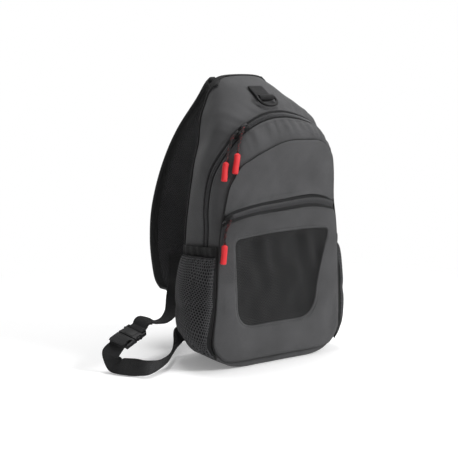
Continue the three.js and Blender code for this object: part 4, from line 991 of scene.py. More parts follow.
def window_sheet(x, z):
    """Where the slack net lies behind the opening."""
    y = on_face(x, z, -0.9 * MM)[..., 1]
    upright = np.sin(x / (6.3 * MM) + 1.6 * np.sin(z / 0.026) + 0.8 * np.sin(z / 0.011)) * 0.55
    slant = np.sin(x / (13 * MM) - z / (17 * MM) + 0.7) * 0.6 + np.sin(x / (4.1 * MM) + z / (19 * MM)) * 0.22
    hang = 0.3 + 0.7 * smooth((z - 0.08) / 0.1)
    fade = smooth(to_window_edge(x, z) / (14 * MM))
    return np.stack([x, y + (SAG_BACK - (upright + slant) * hang * RIPPLE) * fade, z], axis=-1)


MESH_WIDE, MESH_TALL, MESH_HOLE = 2.7 * MM, 2.2 * MM, 0.72
low_x, low_z = WINDOW.min(axis=0) - 3 * MM
wide_x, wide_z = WINDOW.max(axis=0) + 3 * MM - (low_x, low_z)
flat, quads = hexagons(wide_x, wide_z, MESH_WIDE, MESH_TALL, MESH_HOLE,
                       lambda u, v: inside_window(u + low_x, v + low_z, 1.2 * MM))
net_obj = build_mesh("window_net_yarn", window_sheet(flat[:, 0] + low_x, flat[:, 1] + low_z), quads, flat,
                     smooth_faces=False)
if net_obj.data.polygons[0].normal.y > 0:
    net_obj.data.flip_normals()
apply_modifier(net_obj, "SOLIDIFY", thickness=0.4 * MM, offset=-1.0)
finish(net_obj, "black_net", FINE_NET, "window_net")
print("window net:", len(net_obj.data.polygons), "faces")

from_eye = inner - WINDOW_EYE
eye_distance = np.linalg.norm(from_eye, axis=1, keepdims=True)
hem_out, hem_in = (WINDOW_EYE + from_eye * (1 + reach / eye_distance) for reach in (1.0 * MM, -3.0 * MM))
hem_xz = hem_out[:, None] + (hem_in - hem_out)[:, None] * np.linspace(0, 1, 6)[None, :, None]
hem_grid = on_face(hem_xz[..., 0], hem_xz[..., 1], 0)
hem_grid[..., 1] -= np.array([-0.4, 0.05, 0.15, 0.1, -0.1, -0.8])[None, :] * MM
hem_grid[..., 1] -= bumps(hem_grid, 0.018, 51) * 0.2 * MM
hem_obj = grid_object("window_hem", hem_grid, closed=True, normals=facing(hem_grid), thickness=0.7 * MM)
finish(hem_obj, "grey_cloth", GREY)
hem_line = np.concatenate([hem_grid[:, 2], hem_grid[:1, 2]]) + np.array([0, -0.08 * MM, 0])
top_line = hem_line[hem_line[:, 2] > height_at(0.44)]
top_line = top_line[np.argsort(top_line[:, 0])]
finish(stitches("window_topstitch", top_line, facing(top_line), pitch=4.4 * MM, length=2.9 * MM,
                width=0.75 * MM, rise=0.35 * MM), "grey_cloth", THREAD_GREY)
finish(stitches("window_hem_stitch", hem_line, facing(hem_line), pitch=3.6 * MM), "black_cloth", THREAD_DARK)

# %% [markdown]
# The pocket zip crosses the face in a shallow arc. Its tape lies a little behind the cloth, and slanted ribs
# show the coil under it. The divider behind the pocket and the inside keep their CAD shape, in a near-black
# lining that also paints the shade inside the pocket, behind the window net.

# %% Pocket zip and divider
tape_top, tape_low = resample(POCKET_TOP, 73), resample(POCKET_LOW, 73)
tape_xz = tape_top[:, None] + (tape_low - tape_top)[:, None] * np.linspace(-0.06, 1.06, 7)[None, :, None]
tape_grid = on_face(tape_xz[..., 0], tape_xz[..., 1], -0.9 * MM)
tape_grid[..., 1] -= np.array([0, 0.2, 0.5, 0.6, 0.5, 0.2, 0])[None, :] * MM
pocket_tape = grid_object("pocket_zip_tape", tape_grid, normals=facing(tape_grid), thickness=0.9 * MM)
finish(pocket_tape, "black_cloth", ZIP_TAPE, "pocket_zip")
line = tape_grid[:, 3]
finish(ribs("pocket_zip_coil", line, unit(tape_grid[:, 5] - tape_grid[:, 1]), facing(line), pitch=3.3 * MM,
            half_width=4.1 * MM, rise=1.6 * MM, slant=2.4 * MM), "black_plastic", COIL)
edges = [sweep("edge", tape_grid[:, j] + np.array([0, -0.2 * MM, 0]), circle(0.5 * MM, 6), (0, -1, 0))
         for j in (1, 5)]
finish(joined(edges, "pocket_zip_edges"), "black_cloth", BINDING)
low_hem = on_face(tape_low[:, 0], tape_low[:, 1] - 3.0 * MM, 0.12 * MM)
finish(stitches("pocket_zip_stitching", low_hem, facing(low_hem), pitch=3.4 * MM), "grey_cloth", THREAD_DARK)
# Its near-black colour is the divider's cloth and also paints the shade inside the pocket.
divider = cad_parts["pocket_divider"]
divider.data.materials.clear()
divider.data.materials.append(LINING_AND_SHADE)
print("front of the pocket made")

# %% [markdown]
# Both rims of the gusset are sewn over a thin cord, a piping, so that the bag keeps its outline. The front
# piping shows as a fine black line, the rear one is bolder because the padded back is bound with it.

# %% Piping on the seams
ring_of_points = np.concatenate([FRONT_LOOP[-1:], FRONT_LOOP, FRONT_LOOP[:1]])
front_out = unit(np.stack([np.gradient(ring_of_points[:, 2])[1:-1], np.zeros(len(FRONT_LOOP)),
                           -np.gradient(ring_of_points[:, 0])[1:-1]], axis=1))
if front_out[ZIP_FIRST * FRONT_STEPS, 0] > 0:
    front_out = -front_out


def closed_cord(name, loop, radius):
    return sweep(name, np.concatenate([loop, loop[:2]]), circle(radius, 8), (0, 1, 0), caps=False)


front_line = FRONT_LOOP + np.array([0, -1.4 * MM, 0]) - front_out * 0.2 * MM
finish(closed_cord("front_piping", front_line, 1.35 * MM), "black_cloth", BINDING)
BACK_LOOP = catmull(BACK, FRONT_STEPS, closed=True)
back_piping = closed_cord("back_piping", BACK_LOOP + np.array([0, 0.6 * MM, 0]), 1.9 * MM)
for vertex in back_piping.data.vertices:
    vertex.co.z = max(vertex.co.z, 0.4 * MM)
finish(back_piping, "black_cloth", BINDING)
print("pipings made")


# %% [markdown]
# The side pockets are net. A net is drawn best as what it is: yarn round rows of holes. Each cell is a small
# ring between a six-sided rim, shared with its neighbours, and a six-sided hole, and every other row is
# shifted by half a cell. The ring gets a little thickness, so the holes have walls. A black sheet lies close
# behind the net as painted shade, where the pocket has only shade, so that its holes show black.

# %% Side nets
# Columns: the share of the net's height, then the station row at the back seam and at the front seam.
NET_ROWS = np.array([
    [0, 5.6, 4.2],
    [0.08, 6.0, 5.2],
    [0.25, 6.6, 6.3],
    [0.5, 7.3, 7.3],
    [0.75, 7.95, 8.1],
    [0.92, 8.5, 8.8],
    [1, 8.75, 9.05],
])
NET_THICKNESS, NET_BULGE, CORNER_LIFT = 1.2 * MM, 26 * MM, 1.6 * MM
GATHER_DEPTH, FOLD_DEPTH, DENT_DEPTH = 0.9 * MM, 2.2 * MM, 3.0 * MM
LAST_COLUMN = 13
ROWS_PER_HEIGHT = 1 / (HEIGHT * 0.087)


def mirror_row(row, side):
    return row if side < 0 else ROWS - row


def net_clearance(up):
    return NET_THICKNESS + 3 * GAP + CORNER_LIFT * (1 - np.minimum(up / 0.4, 1))


def net_point(up, q, side, under=0.0):
    """A point of the net: up its height from 0 to 1, and q from the back seam to the front seam."""
    back = np.interp(up, NET_ROWS[:, 0], NET_ROWS[:, 1])
    front = np.interp(up, NET_ROWS[:, 0], NET_ROWS[:, 2])
    bulge = NET_BULGE * np.maximum(0, np.sin(np.pi * up)) ** 0.4 * np.maximum(0, np.sin(np.pi * q ** 0.8)) ** 0.8
    near_rims = np.exp(-((up - 0.03) / 0.09) ** 2) + np.exp(-((1.0 - up) / 0.07) ** 2)
    gather = np.sin(q * 62 + 2 * np.sin(q * 9)) * GATHER_DEPTH * near_rims
    fold = FOLD_DEPTH * np.sin(q * 9 + up * 5 + 0.6) * np.sin(np.pi * up) * np.sin(np.pi * q)
    dent = -DENT_DEPTH * np.exp(-((up - 0.30 - 0.25 * q) / 0.07) ** 2) * np.sin(np.pi * q)
    lift = net_clearance(up) + bulge + (gather + fold + dent) * np.minimum(bulge / (4 * MM), 1)
    row = mirror_row(back + (front - back) * q, side)
    column = 1 + (LAST_COLUMN - 0.4 - 1) * q
    return on_gusset(row, column, lift - under)


NET_WIDE, NET_TALL = 138 * MM, 148 * MM
CELL_WIDE, CELL_TALL, CELL_HOLE = 4.9 * MM, 3.7 * MM, 0.72
# How deep the black sheet of painted shade lies under each net, and the radius of the net's rim.
SHADE_SHEET_DEPTH, RIM_RADIUS = 1.5 * MM, 1.1 * MM


def side_net(side, word):
    flat, quads = hexagons(NET_WIDE, NET_TALL, CELL_WIDE, CELL_TALL, CELL_HOLE)
    share = np.clip(flat / [NET_WIDE, NET_TALL], 0.001, 0.999)
    obj = build_mesh(f"side_net_{word}_yarn", net_point(share[:, 1], share[:, 0], side), quads, flat,
                     smooth_faces=False)
    if np.mean([p.normal.x for p in obj.data.polygons]) * side < 0:
        obj.data.flip_normals()
    apply_modifier(obj, "SOLIDIFY", thickness=0.8 * MM, offset=-1.0)
    return obj


for side, word in ((-1, "left"), (1, "right")):
    net = side_net(side, word)
    finish(net, "black_net", NET_YARN, f"side_net_{word}")
    print("net", word, len(net.data.polygons), "faces")
    rim_paths = []
    along, first_end, last_end = np.linspace(0, 1, 60), np.zeros(60), np.ones(60)
    for ups, qs in ((along, first_end), (along, last_end), (first_end, along)):
        path = net_point(np.clip(ups, 0.002, 0.998), np.clip(qs, 0.002, 0.998), side)
        rim_paths.append(sweep("rim", path, circle(RIM_RADIUS, 8, 0.8)))
    finish(joined(rim_paths, f"side_net_{word}_rim"), "black_cloth", BINDING)
    # A black sheet close under the net is painted shade: it darkens the holes, where the pocket has only shade.
    U, Q = np.meshgrid(np.linspace(0.002, 0.998, 48), np.linspace(0.002, 0.998, 60), indexing="ij")
    dark = net_point(U.ravel(), Q.ravel(), side, under=SHADE_SHEET_DEPTH).reshape(48, 60, 3)
    dark_obj = grid_object(f"side_pocket_{word}_lining", dark)
    apply_modifier(dark_obj, "SOLIDIFY", thickness=0.5 * MM, offset=0.0)
    finish(dark_obj, "black_cloth", LINING_AND_SHADE)

# %% [markdown]
# An elastic band closes each side pocket. Elastic draws the cloth in, so the band has fine upright ribs and two
# rolled edges, and its middle stands off the bag.

# %% Elastic bands
BAND_HEIGHT = 13.5 * MM
for side, word in ((-1, "left"), (1, "right")):
    rise = np.linspace(GAP, BAND_HEIGHT, 9)
    qs = np.linspace(0, 1, 161)
    R, Q = np.meshgrid(rise, qs, indexing="ij")
    up_share = (R - GAP) / (BAND_HEIGHT - GAP)
    back = 8.75 + R * ROWS_PER_HEIGHT
    front = 9.05 + R * ROWS_PER_HEIGHT
    row = mirror_row(back + (front - back) * Q, side)
    column = 1 + (LAST_COLUMN - 1.4) * Q
    lift = NET_THICKNESS + 3 * GAP + 3 * MM * np.maximum(0, np.sin(np.pi * Q)) * up_share
    lift += 0.12 * MM * np.sin(Q * 190) * (0.4 + 0.6 * np.sin(np.pi * up_share)) + 0.5 * MM * np.sin(Q * 41 + 1)
    lift += 0.5 * MM * np.sin(np.pi * up_share) ** 0.5
    band = on_gusset(row.ravel(), column.ravel(), lift.ravel()).reshape(9, 161, 3)
    away = np.broadcast_to(np.array([side, 0.0, 0.0]), band.shape)
    obj = grid_object(f"side_band_{word}_elastic", band, normals=away, thickness=1.3 * MM)
    finish(obj, "black_cloth", ELASTIC, f"side_band_{word}")
    for k, name in ((2, "low"), (6, "high")):
        lane = band[k] + np.array([side * 0.2 * MM, 0, 0])
        finish(stitches(f"side_band_{word}_stitch_{name}", lane, away[k], pitch=3.0 * MM), "black_cloth",
               THREAD_DARK)
print("side pockets made")

# %% [markdown]
# The back of the bag is a padded panel in air mesh. Two upright channels and three crossing ones are quilted
# into it, so the pads between them swell. It is guessed, because the photograph doesn't show this side.

# %% Padded back
PAD_START, PAD_THICKNESS, PAD_RIM = BACK_Y + GAP, 7.5 * MM, 0.6 * MM
UPRIGHT_SEAMS, CROSSING_SEAMS = (-34 * MM, 34 * MM), (75 * MM, 165 * MM, 255 * MM)
centre = np.array([0.0, 0.0, HEIGHT * 0.45])
loop = resample(np.concatenate([BACK_LOOP, BACK_LOOP[:1]]), 241)[:-1]
pad = loop[:, None] + (centre - loop)[:, None] * np.linspace(0, 1, 45)[None, :, None]


def panel_distance(x, z):
    a, b = BACK[:, [0, 2]], np.roll(BACK[:, [0, 2]], -1, axis=0)
    p = np.stack([x, z], axis=-1)[..., None, :]
    d = b - a
    t = np.clip(np.sum((p - a) * d, axis=-1) / np.sum(d * d, axis=-1), 0, 1)
    return np.min(np.linalg.norm(p - a - d * t[..., None], axis=-1), axis=-1)


X, Z = pad[..., 0], pad[..., 2]
rim_far = panel_distance(X, Z)
quilt = np.ones_like(X)
for line_x in UPRIGHT_SEAMS:
    quilt = np.minimum(quilt, smooth(np.abs(X - line_x) / 0.010 * 0.8 + 0.05))
for line_z in CROSSING_SEAMS:
    quilt = np.minimum(quilt, smooth(np.abs(Z - line_z - 0.125 * np.abs(X)) / 0.009 * 0.8 + 0.05))
swell = (1 - (1 - np.clip(rim_far / 0.010, 0, 1)) ** 2) ** 0.5
pad_y = PAD_START + (PAD_THICKNESS - PAD_RIM) * swell * (0.42 + 0.58 * quilt) + PAD_RIM
pad = np.stack([X, pad_y + bumps(pad, 0.05, 61) * 0.25 * MM * swell, Z], axis=-1)
pad_obj = grid_object("back_pad", pad, closed=True, normals=-facing(pad))
select_only(pad_obj)
bpy.ops.object.mode_set(mode="EDIT")
bpy.ops.mesh.select_all(action="SELECT")
bpy.ops.mesh.remove_doubles(threshold=0.00002)
bpy.ops.mesh.select_all(action="DESELECT")
bpy.ops.mesh.select_non_manifold()
bpy.ops.mesh.extrude_region_move(TRANSFORM_OT_translate={"value": (0, -0.5 * MM, 0)})
bpy.ops.mesh.edge_face_add()
bpy.ops.mesh.select_all(action="SELECT")
bpy.ops.mesh.normals_make_consistent(inside=False)
bpy.ops.object.mode_set(mode="OBJECT")
uv_layer = pad_obj.data.uv_layers["UVMap"]
for loop_item in pad_obj.data.loops:
    point = pad_obj.data.vertices[loop_item.vertex_index].co
    uv_layer.data[loop_item.index].uv = (point.x, point.z)
finish(pad_obj, "black_cloth", AIR_MESH, "back_panel")
print("padded back:", len(pad_obj.data.polygons), "faces")

# %% [markdown]
# The shoulder strap is a long flat pad that leaves the top of the bag and comes back down to its lower corner.
# It is a loft along a smooth line, with the width and the thickness of each station, and a wide binding is
# folded over both of its edges and sewn down.

# %% Strap line
# Columns: the x, y and z shares of the strap's middle, then its width as a share of the full width.
STRAP_ROWS = np.array([
    [0.0, 0.525, 0.984, 1.0],
    [0.0, 0.68, 0.962, 0.95],
    [-0.06, 0.87, 0.9, 0.89],
    [-0.22, 1.19, 0.775, 0.86],
    [-0.37, 1.36, 0.637, 0.85],
    [-0.49, 1.41, 0.494, 0.85],
    [-0.57, 1.32, 0.375, 0.84],
    [-0.665, 1.12, 0.277, 0.78],
    [-0.77, 0.97, 0.225, 0.62],
    [-0.84, 0.86, 0.195, 0.3],
])
STRAP_WIDTH, STRAP_THICKNESS = 98 * MM, 12 * MM
BINDING_WIDTH, BINDING_THICKNESS = 12 * MM, 9 * MM
strap_middle = np.stack([STRAP_ROWS[:, 0] * HALF_WIDTH, STRAP_ROWS[:, 1] * DEPTH, height_at(STRAP_ROWS[:, 2])],
                        axis=1)
strap_middle[0, 1] = PAD_START + PAD_THICKNESS + GAP
STRAP_STEPS = 2
FINE_STEPS = 10
coarse_line = catmull(strap_middle, STRAP_STEPS)
fine_line = catmull(strap_middle, FINE_STEPS)
fine_half = catmull(STRAP_ROWS[:, 3:], FINE_STEPS)[:, 0] * STRAP_WIDTH / 2
reach, stations = FINE_STEPS // 2, np.arange(len(fine_line))
tangents = unit(fine_line[np.minimum(stations + reach, stations[-1])] - fine_line[np.maximum(stations - reach, 0)])
x_axis = np.array([1.0, 0.0, 0.0])
strap_across = unit(x_axis - tangents * tangents[:, :1])
turn = np.clip(stations / (6 * FINE_STEPS / STRAP_STEPS), 0, 1)[:, None]
strap_across = unit(strap_across * turn + x_axis * (1 - turn))
strap_out = unit(np.cross(strap_across, tangents))
first = smooth(stations / (FINE_STEPS / STRAP_STEPS))[:, None]
strap_out = unit(strap_out * first + np.array([0, 0, 1.0]) * (1 - first))
USED = len(fine_line) - FINE_STEPS // STRAP_STEPS
strap_run = lengths_along(fine_line)
print("strap length:", round(strap_run[-1], 3))

# %% Strap pad and bindings
def strap_section(name, offsets, heights, wobble, material, slot, node_name):
    """A closed loft from each station's offsets across, with half thicknesses that hold for all stations."""
    middle, across, out = fine_line[:USED, None], strap_across[:USED, None], strap_out[:USED, None]
    offsets, wobble = offsets[:USED], wobble[:USED]
    top = middle + across * offsets[:, :, None] + out * (heights + wobble)[:, :, None]
    low = middle + across * offsets[:, ::-1, None] - out * (heights - wobble * 0.3)[:, ::-1, None]
    rings = np.concatenate([top, low], axis=1)
    count = rings.shape[1]
    faces = ring_faces(USED, count) + [tuple(range(count)), tuple((USED - 1) * count + j for j in range(count))]
    around = np.stack([lengths_along(ring) for ring in rings])
    uvs = np.stack([around, np.broadcast_to(strap_run[:USED, None], around.shape)], axis=-1).reshape(-1, 2)
    obj = outward(build_mesh(name, rings.reshape(-1, 3), faces, uvs))
    finish(obj, slot, material, node_name)
    return obj


core_shares = np.linspace(-1, 1, 31)
core_places = fine_line[:, None] + strap_across[:, None] * core_shares[None, :, None] * 0.05
soft = bumps(core_places, 0.05, 71) * 0.5 * MM
core_offsets = core_shares * np.maximum(fine_half - BINDING_WIDTH + 1.2 * MM, 1 * MM)[:, None]
core_side = np.abs(core_shares)
core_heights = (STRAP_THICKNESS + (BINDING_THICKNESS - STRAP_THICKNESS) * core_side ** 4) / 2
core_heights -= 0.5 * MM * (core_side ** 4 + np.exp(-((core_side - 0.93) / 0.05) ** 2))
strap_pad = strap_section("strap_pad", core_offsets, core_heights, soft, AIR_MESH, "black_net", "shoulder_strap")

EDGE_ROUND, HALF_BINDING = 4.5 * MM, BINDING_THICKNESS / 2
edge_turn = np.linspace(0, np.pi / 2, 7)[1:]
inside, rounding = fine_half - BINDING_WIDTH, fine_half - EDGE_ROUND
bound_offsets = np.concatenate([np.stack([inside, inside + 0.8 * MM, fine_half - 7.5 * MM, rounding], axis=1),
                                rounding[:, None] + np.sin(edge_turn) * EDGE_ROUND], axis=1)
bound_heights = np.concatenate([HALF_BINDING + np.array([-0.9, 0.1, 0.15, 0]) * MM,
                                np.cos(edge_turn) * (HALF_BINDING - 0.3 * MM) + 0.3 * MM])
ripple = 0.25 * MM * np.sin(strap_run / 0.0052 + 1.6 * np.sin(strap_run / 0.021))[:, None] \
    * np.array([0.3, 0.5, 1, 0.8, 0.4, 0.2, 0, 0, 0, 0])[None]
for side, word in ((-1, "left"), (1, "right")):
    strap_section(f"strap_binding_{word}_tape", side * bound_offsets, bound_heights, ripple, BINDING,
                  "black_cloth", f"strap_binding_{word}")
    for face in (-1, 1):
        lane = fine_line[:USED] + strap_across[:USED] * (side * (inside[:USED] + 2.0 * MM))[:, None] \
            + strap_out[:USED] * face * (HALF_BINDING + 0.25 * MM)
        label = "outer" if face > 0 else "inner"
        finish(stitches(f"strap_stitching_{word}_{label}", lane, strap_out[:USED] * face), "black_cloth", THREAD_DARK)

# %% [markdown]
# At its top the strap is sewn on under a small black patch. It wraps the corner of the bag as a triangle that
# is wide along the back seam and runs out along the top edge.

# %% Patch at the strap's root
PATCH_FIRST, PATCH_PEAK, PATCH_LAST, PATCH_REACH = 17.6, 18.7, 20.7, 1.7
patch_rows = np.linspace(PATCH_FIRST, PATCH_LAST, 24)
reach = 0.14 + PATCH_REACH * np.interp(patch_rows, [PATCH_FIRST, PATCH_PEAK, PATCH_LAST], [0, 1, 0]) ** 1.2
patch_columns = 0.12 + reach[:, None] * np.linspace(0, 1, 9)[None, :]
patch_base, patch_grid = (on_gusset(np.repeat(patch_rows, 9), patch_columns.ravel(), lift).reshape(24, 9, 3)
                          for lift in (0.0, 1.4 * MM))
patch_out = patch_grid - patch_base
finish(grid_object("strap_root_patch", patch_grid, normals=patch_out, thickness=1.3 * MM), "black_cloth", BINDING)
patch_edge = stitches("strap_root_stitching", patch_grid[1:-1, 7], unit(patch_out[1:-1, 7]), pitch=2.8 * MM)
finish(patch_edge, "black_cloth", THREAD_DARK)
print("strap made")


# %% [markdown]
# The hard pieces are small, and each sits in its own frame: a centre, a direction across, a direction along and
# the direction up off the cloth. A rounded box in such a frame is a cube with a bevel, made with the same
# commands as by hand, and a piece such as a slider or a buckle is a handful of these joined.

# %% Boxes in a frame
def frame_matrix(centre, across, along):
    across, along = unit(np.array(across)), unit(np.array(along))
    up = np.cross(across, along)
    rows = [[across[k], along[k], up[k], centre[k]] for k in range(3)] + [[0, 0, 0, 1]]
    return Matrix(rows)


def rounded(obj, bevel, segments):
    apply_modifier(obj, "BEVEL", width=bevel * MM, segments=segments, limit_method="ANGLE")
    select_only(obj)
    bpy.ops.object.shade_smooth_by_angle(angle=math.radians(40))
    return obj


def rounded_box(x, y, z, bevel, segments=3):
    """A box from its two ends on each of the frame's own axes, with rounded edges; all in millimetres."""
    low, high = np.transpose([x, y, z]) * MM
    bpy.ops.mesh.primitive_cube_add(size=1, location=(0, 0, 0))
    box = bpy.context.object
    for vertex in box.data.vertices:
        vertex.co = low + (high - low) * (np.array(vertex.co) + 0.5)
    return rounded(box, bevel, segments)


def prism(outline, low, high, bevel, segments=3):
    """A plate from a flat outline, between two heights, with rounded edges; all in millimetres."""
    count = len(outline)
    points = np.array([(x, y, h) for h in (low, high) for x, y in outline]) * MM
    faces = [tuple(range(count))[::-1], tuple(range(count, 2 * count))]
    faces += [(k, (k + 1) % count, count + (k + 1) % count, count + k) for k in range(count)]
    return rounded(outward(build_mesh("plate", points, faces, points[:, :2])), bevel, segments)


def placed(obj, matrix):
    """Moves the mesh into place, and leaves the object at the origin."""
    obj.data.transform(matrix)
    obj.data.update()
    return obj


def local_tube(points, radius, count, flat, hint):
    """A rod along points, in millimetres."""
    return sweep("tube", np.array(points) * MM, circle(radius * MM, count, flat), hint)


# %% [markdown]
# Each zip has a slider: a lower and an upper plate with a waist between them, a wedge nose, and a bridge that
# the pull is tied through.

# %% Sliders
def slider(name, point, normal, ahead, node_name):
    normal = unit(np.array(normal))
    flat = unit(ahead - normal * np.dot(ahead, normal))
    across = np.cross(flat, normal)
    matrix = frame_matrix(point + normal * 0.3 * MM, across, flat)
    shape = np.array([(-2.7, -6.2), (2.7, -6.2), (4.4, -1.6), (4.6, 4.6), (3.4, 6.2), (0, 5.2), (-3.4, 6.2),
                      (-4.6, 4.6), (-4.4, -1.6)])
    bridge = [(0, -4.6, 3.6), (0, -4.9, 5.0), (0, -4.0, 6.3), (0, -2.0, 6.9), (0, 0.6, 6.9), (0, 2.6, 6.3),
              (0, 3.6, 5.2), (0, 3.6, 3.8)]
    parts = [prism(shape, 0.0, 1.5, 0.5), prism(shape * 0.82, 1.0, 3.0, 0.3), prism(shape * 0.97, 2.6, 4.4, 0.6),
             local_tube(catmull(bridge, 4), 0.75, 8, 1.5, (0, 0.2, 1)),
             rounded_box((-0.9, 0.9), (3.0, 5.2), (4.0, 5.4), 0.4)]
    finish(placed(joined(parts, name), matrix), "black_plastic", PLASTIC, node_name)


ZIP_COLUMN = BEHIND + 0.5
for word, row in (("upper", 15.55), ("lower", 14.72)):
    seat_point, seat_ahead = on_gusset(row, ZIP_COLUMN)[0], on_gusset(row + 0.2, ZIP_COLUMN)[0]
    seat_normal = unit(sample(FINE_NORMALS, np.array([row * ROW_STEPS]),
                              np.array([float(column_index(ZIP_COLUMN))]))[0])
    slider(f"slider_{word}", seat_point, seat_normal, seat_ahead - seat_point, f"zip_slider_{word}")
pocket_seat = on_face(-0.835 * HALF_WIDTH, float(height_at(0.527)))
slider("slider_pocket", pocket_seat, (-0.19, -0.98, 0), np.array([0.93, 0, 0.36]), "pocket_zip_slider")
print("sliders made")

# %% [markdown]
# Every pull is a doubled braided cord. Two strands run side by side with a slow twist, from the slider's bridge
# to a soft red grip. The cord's length is that of its middle line, and its diameter is over both strands.

# %% Pulls
# Each pull has the surface that it lies on, the rows of its cord and the rows of its grip. A row is a place on
# that surface, and last the millimetres off it.
PULLS = {
    "upper": (on_gusset,
              [[15.35, 7.62, 7.2], [15.0, 7.95, 7.0], [14.76, 8.2, 4.6], [14.5, 8.65, 2.8], [14.22, 9.4, 4.8]],
              [[14.16, 9.54, 5.2], [13.94, 10.12, 5.2], [13.62, 10.73, 5.4], [13.3, 11.65, 5.4]]),
    "lower": (on_gusset,
              [[14.6, 7.5, 7.2], [14.3, 7.65, 6.4], [14.1, 7.85, 3.8], [13.79, 8.25, 2.8], [13.51, 8.95, 4.8]],
              [[13.45, 9.09, 5.2], [13.19, 9.41, 5.2], [12.84, 9.82, 5.4], [12.46, 10.15, 5.4]]),
    "pocket": (lambda x, z, lift: on_face(x * HALF_WIDTH, height_at(z), lift)[None],
               [[-0.845, 0.522, 7.2], [-0.866, 0.508, 6.4], [-0.885, 0.49, 3.6], [-0.903, 0.463, 2.8],
                [-0.92, 0.4385, 4.8]],
               [[-0.924, 0.4355, 5.2], [-0.928, 0.416, 5.2], [-0.938, 0.392, 5.4], [-0.95, 0.371, 5.4]]),
}
STRAND_RADIUS, STRAND_OFFSET, STRAND_PITCH = 1.30 * MM, 0.80 * MM, 18 * MM


def superellipse(a, b, power=2.6, count=28):
    turn = np.arange(count) * 2 * np.pi / count
    c, s = np.cos(turn), np.sin(turn)
    points = np.stack([a * np.sign(c) * np.abs(c) ** (2 / power), b * np.sign(s) * np.abs(s) ** (2 / power)], axis=1)
    from_seam = np.minimum(np.abs(turn - np.pi), np.minimum(turn, 2 * np.pi - turn))
    return points * (1 + 0.035 * np.exp(-(from_seam / 0.12) ** 2))[:, None]


cord_lengths = {}
for word, (place, cord_rows, grip_rows) in PULLS.items():
    start_to_end = np.array([place(r, c, lift * MM)[0] for r, c, lift in cord_rows])
    line = catmull(start_to_end, 10)
    run = lengths_along(line)
    _, side, up = frames_along(line, (0.3, -1, 0.2))
    strands = []
    for phase in (0, np.pi):
        angle = run / STRAND_PITCH * 2 * np.pi + phase
        offset_path = line + (side * np.cos(angle)[:, None] + up * np.sin(angle)[:, None]) * STRAND_OFFSET
        strands.append(sweep("strand", offset_path, circle(STRAND_RADIUS, 10), (0.3, -1, 0.2)))
    cord = finish(joined(strands, f"cord_{word}"), "black_cloth", CORD, f"pull_cord_{word}")
    grip_line = catmull(np.array([place(r, c, lift * MM)[0] for r, c, lift in grip_rows]), 10)
    grip_run = lengths_along(grip_line) / lengths_along(grip_line)[-1]
    top_round = 0.62 + 0.38 * np.sqrt(np.clip(grip_run / 0.06, 0, 1))
    low_round = 0.70 + 0.30 * np.sqrt(np.clip((1 - grip_run) / 0.05, 0, 1))
    body_scale = np.minimum(top_round, low_round) * (1 - 0.05 * np.sin(np.pi * grip_run) ** 2)
    grip = sweep(f"grip_{word}", grip_line, superellipse(4.2 * MM, 3.4 * MM), (1, -0.2, 0.1), body_scale)
    collar_line = np.array([grip_line[0] + (grip_line[0] - grip_line[2]) * s for s in (0.0, 0.35, 0.6)])
    collar = sweep("collar", collar_line, circle(2.1 * MM, 18), (1, -0.2, 0.1), [1.15, 1.0, 0.8])
    grip = finish(joined([grip, collar], f"grip_{word}"), "red_rubber", RUBBER, f"pull_grip_{word}")
    cord_lengths[word] = float(run[-1])
print("cord lengths:", {k: round(v, 4) for k, v in cord_lengths.items()})

# %% [markdown]
# The ring on the top panel is a D of round plastic rod with a straight bar. It hangs in a folded tab of
# webbing: one strip that lies on the cloth, turns round the bar and comes back on itself, sewn through in a box.

# %% Ring and tab
ring_centre = np.array([2.348, -18.806, 378.801]) * MM
tab_across = np.array([1.0, 0, 0])
tab_along = unit(np.array([0.0, -0.8423, -0.5390]))
tab_out = unit(np.array([0.0, -0.5390, 0.8423]))
BAR_HEIGHT, BAR_AT = 4.69 * MM, 15.5 * MM
tab_seat = ring_centre - tab_along * BAR_AT - tab_out * BAR_HEIGHT
RING_DIP = -0.1
ring_along = tab_along * math.cos(RING_DIP) + tab_out * math.sin(RING_DIP)
ring_normal = np.cross(tab_across, ring_along)


def bezier(a, b, c, d, count=14):
    t = np.linspace(0, 1, count)[:, None]
    a, b, c, d = map(np.array, (a, b, c, d))
    return (1 - t) ** 3 * a + 3 * t * (1 - t) ** 2 * b + 3 * t * t * (1 - t) * c + t ** 3 * d


half_d = np.concatenate([
    np.array([[s, 0.0] for s in np.linspace(0, 12.8, 6)]),
    bezier((13.2, 0.0), (14.6, 0.1), (15.0, 0.6), (15.0, 2.0), 6),
    bezier((15.0, 4.9), (15.0, 13.6), (8.2, 17.0), (0.0, 17.0), 18)])
whole_d = np.concatenate([half_d, (half_d * [-1, 1])[::-1][1:-1]]) * MM
ring_path = ring_centre + whole_d[:, :1] * tab_across + whole_d[:, 1:] * ring_along
ring_path = np.concatenate([ring_path, ring_path[:2]])
groove = circle(1.95 * MM, 20)
groove *= (1 - sum(0.13 * np.exp(-((np.arange(20) - middle) / 1.1) ** 2) for middle in (5, 15)))[:, None]
ring = sweep("ring_rod", ring_path, groove, ring_normal, caps=False)
finish(ring, "black_plastic", PLASTIC, "d_ring", body="ring")

WEB_WIDTH, WEB_THICK = 25 * MM, 1.6 * MM
turn = np.radians(np.arange(-90, 211, 15))
tab_path = [(a, 1.25) for a in np.linspace(-15.5, 13.5, 13)]
tab_path += [(15.5 + 3.44 * math.cos(t), 4.69 + 3.44 * math.sin(t)) for t in turn]
tab_path += [(10.6, 3.0), (8.8, 2.88)] + [(a, 2.86) for a in np.linspace(6.5, -15.5, 9)]
tab_path = catmull(np.array(tab_path) * MM, 2)


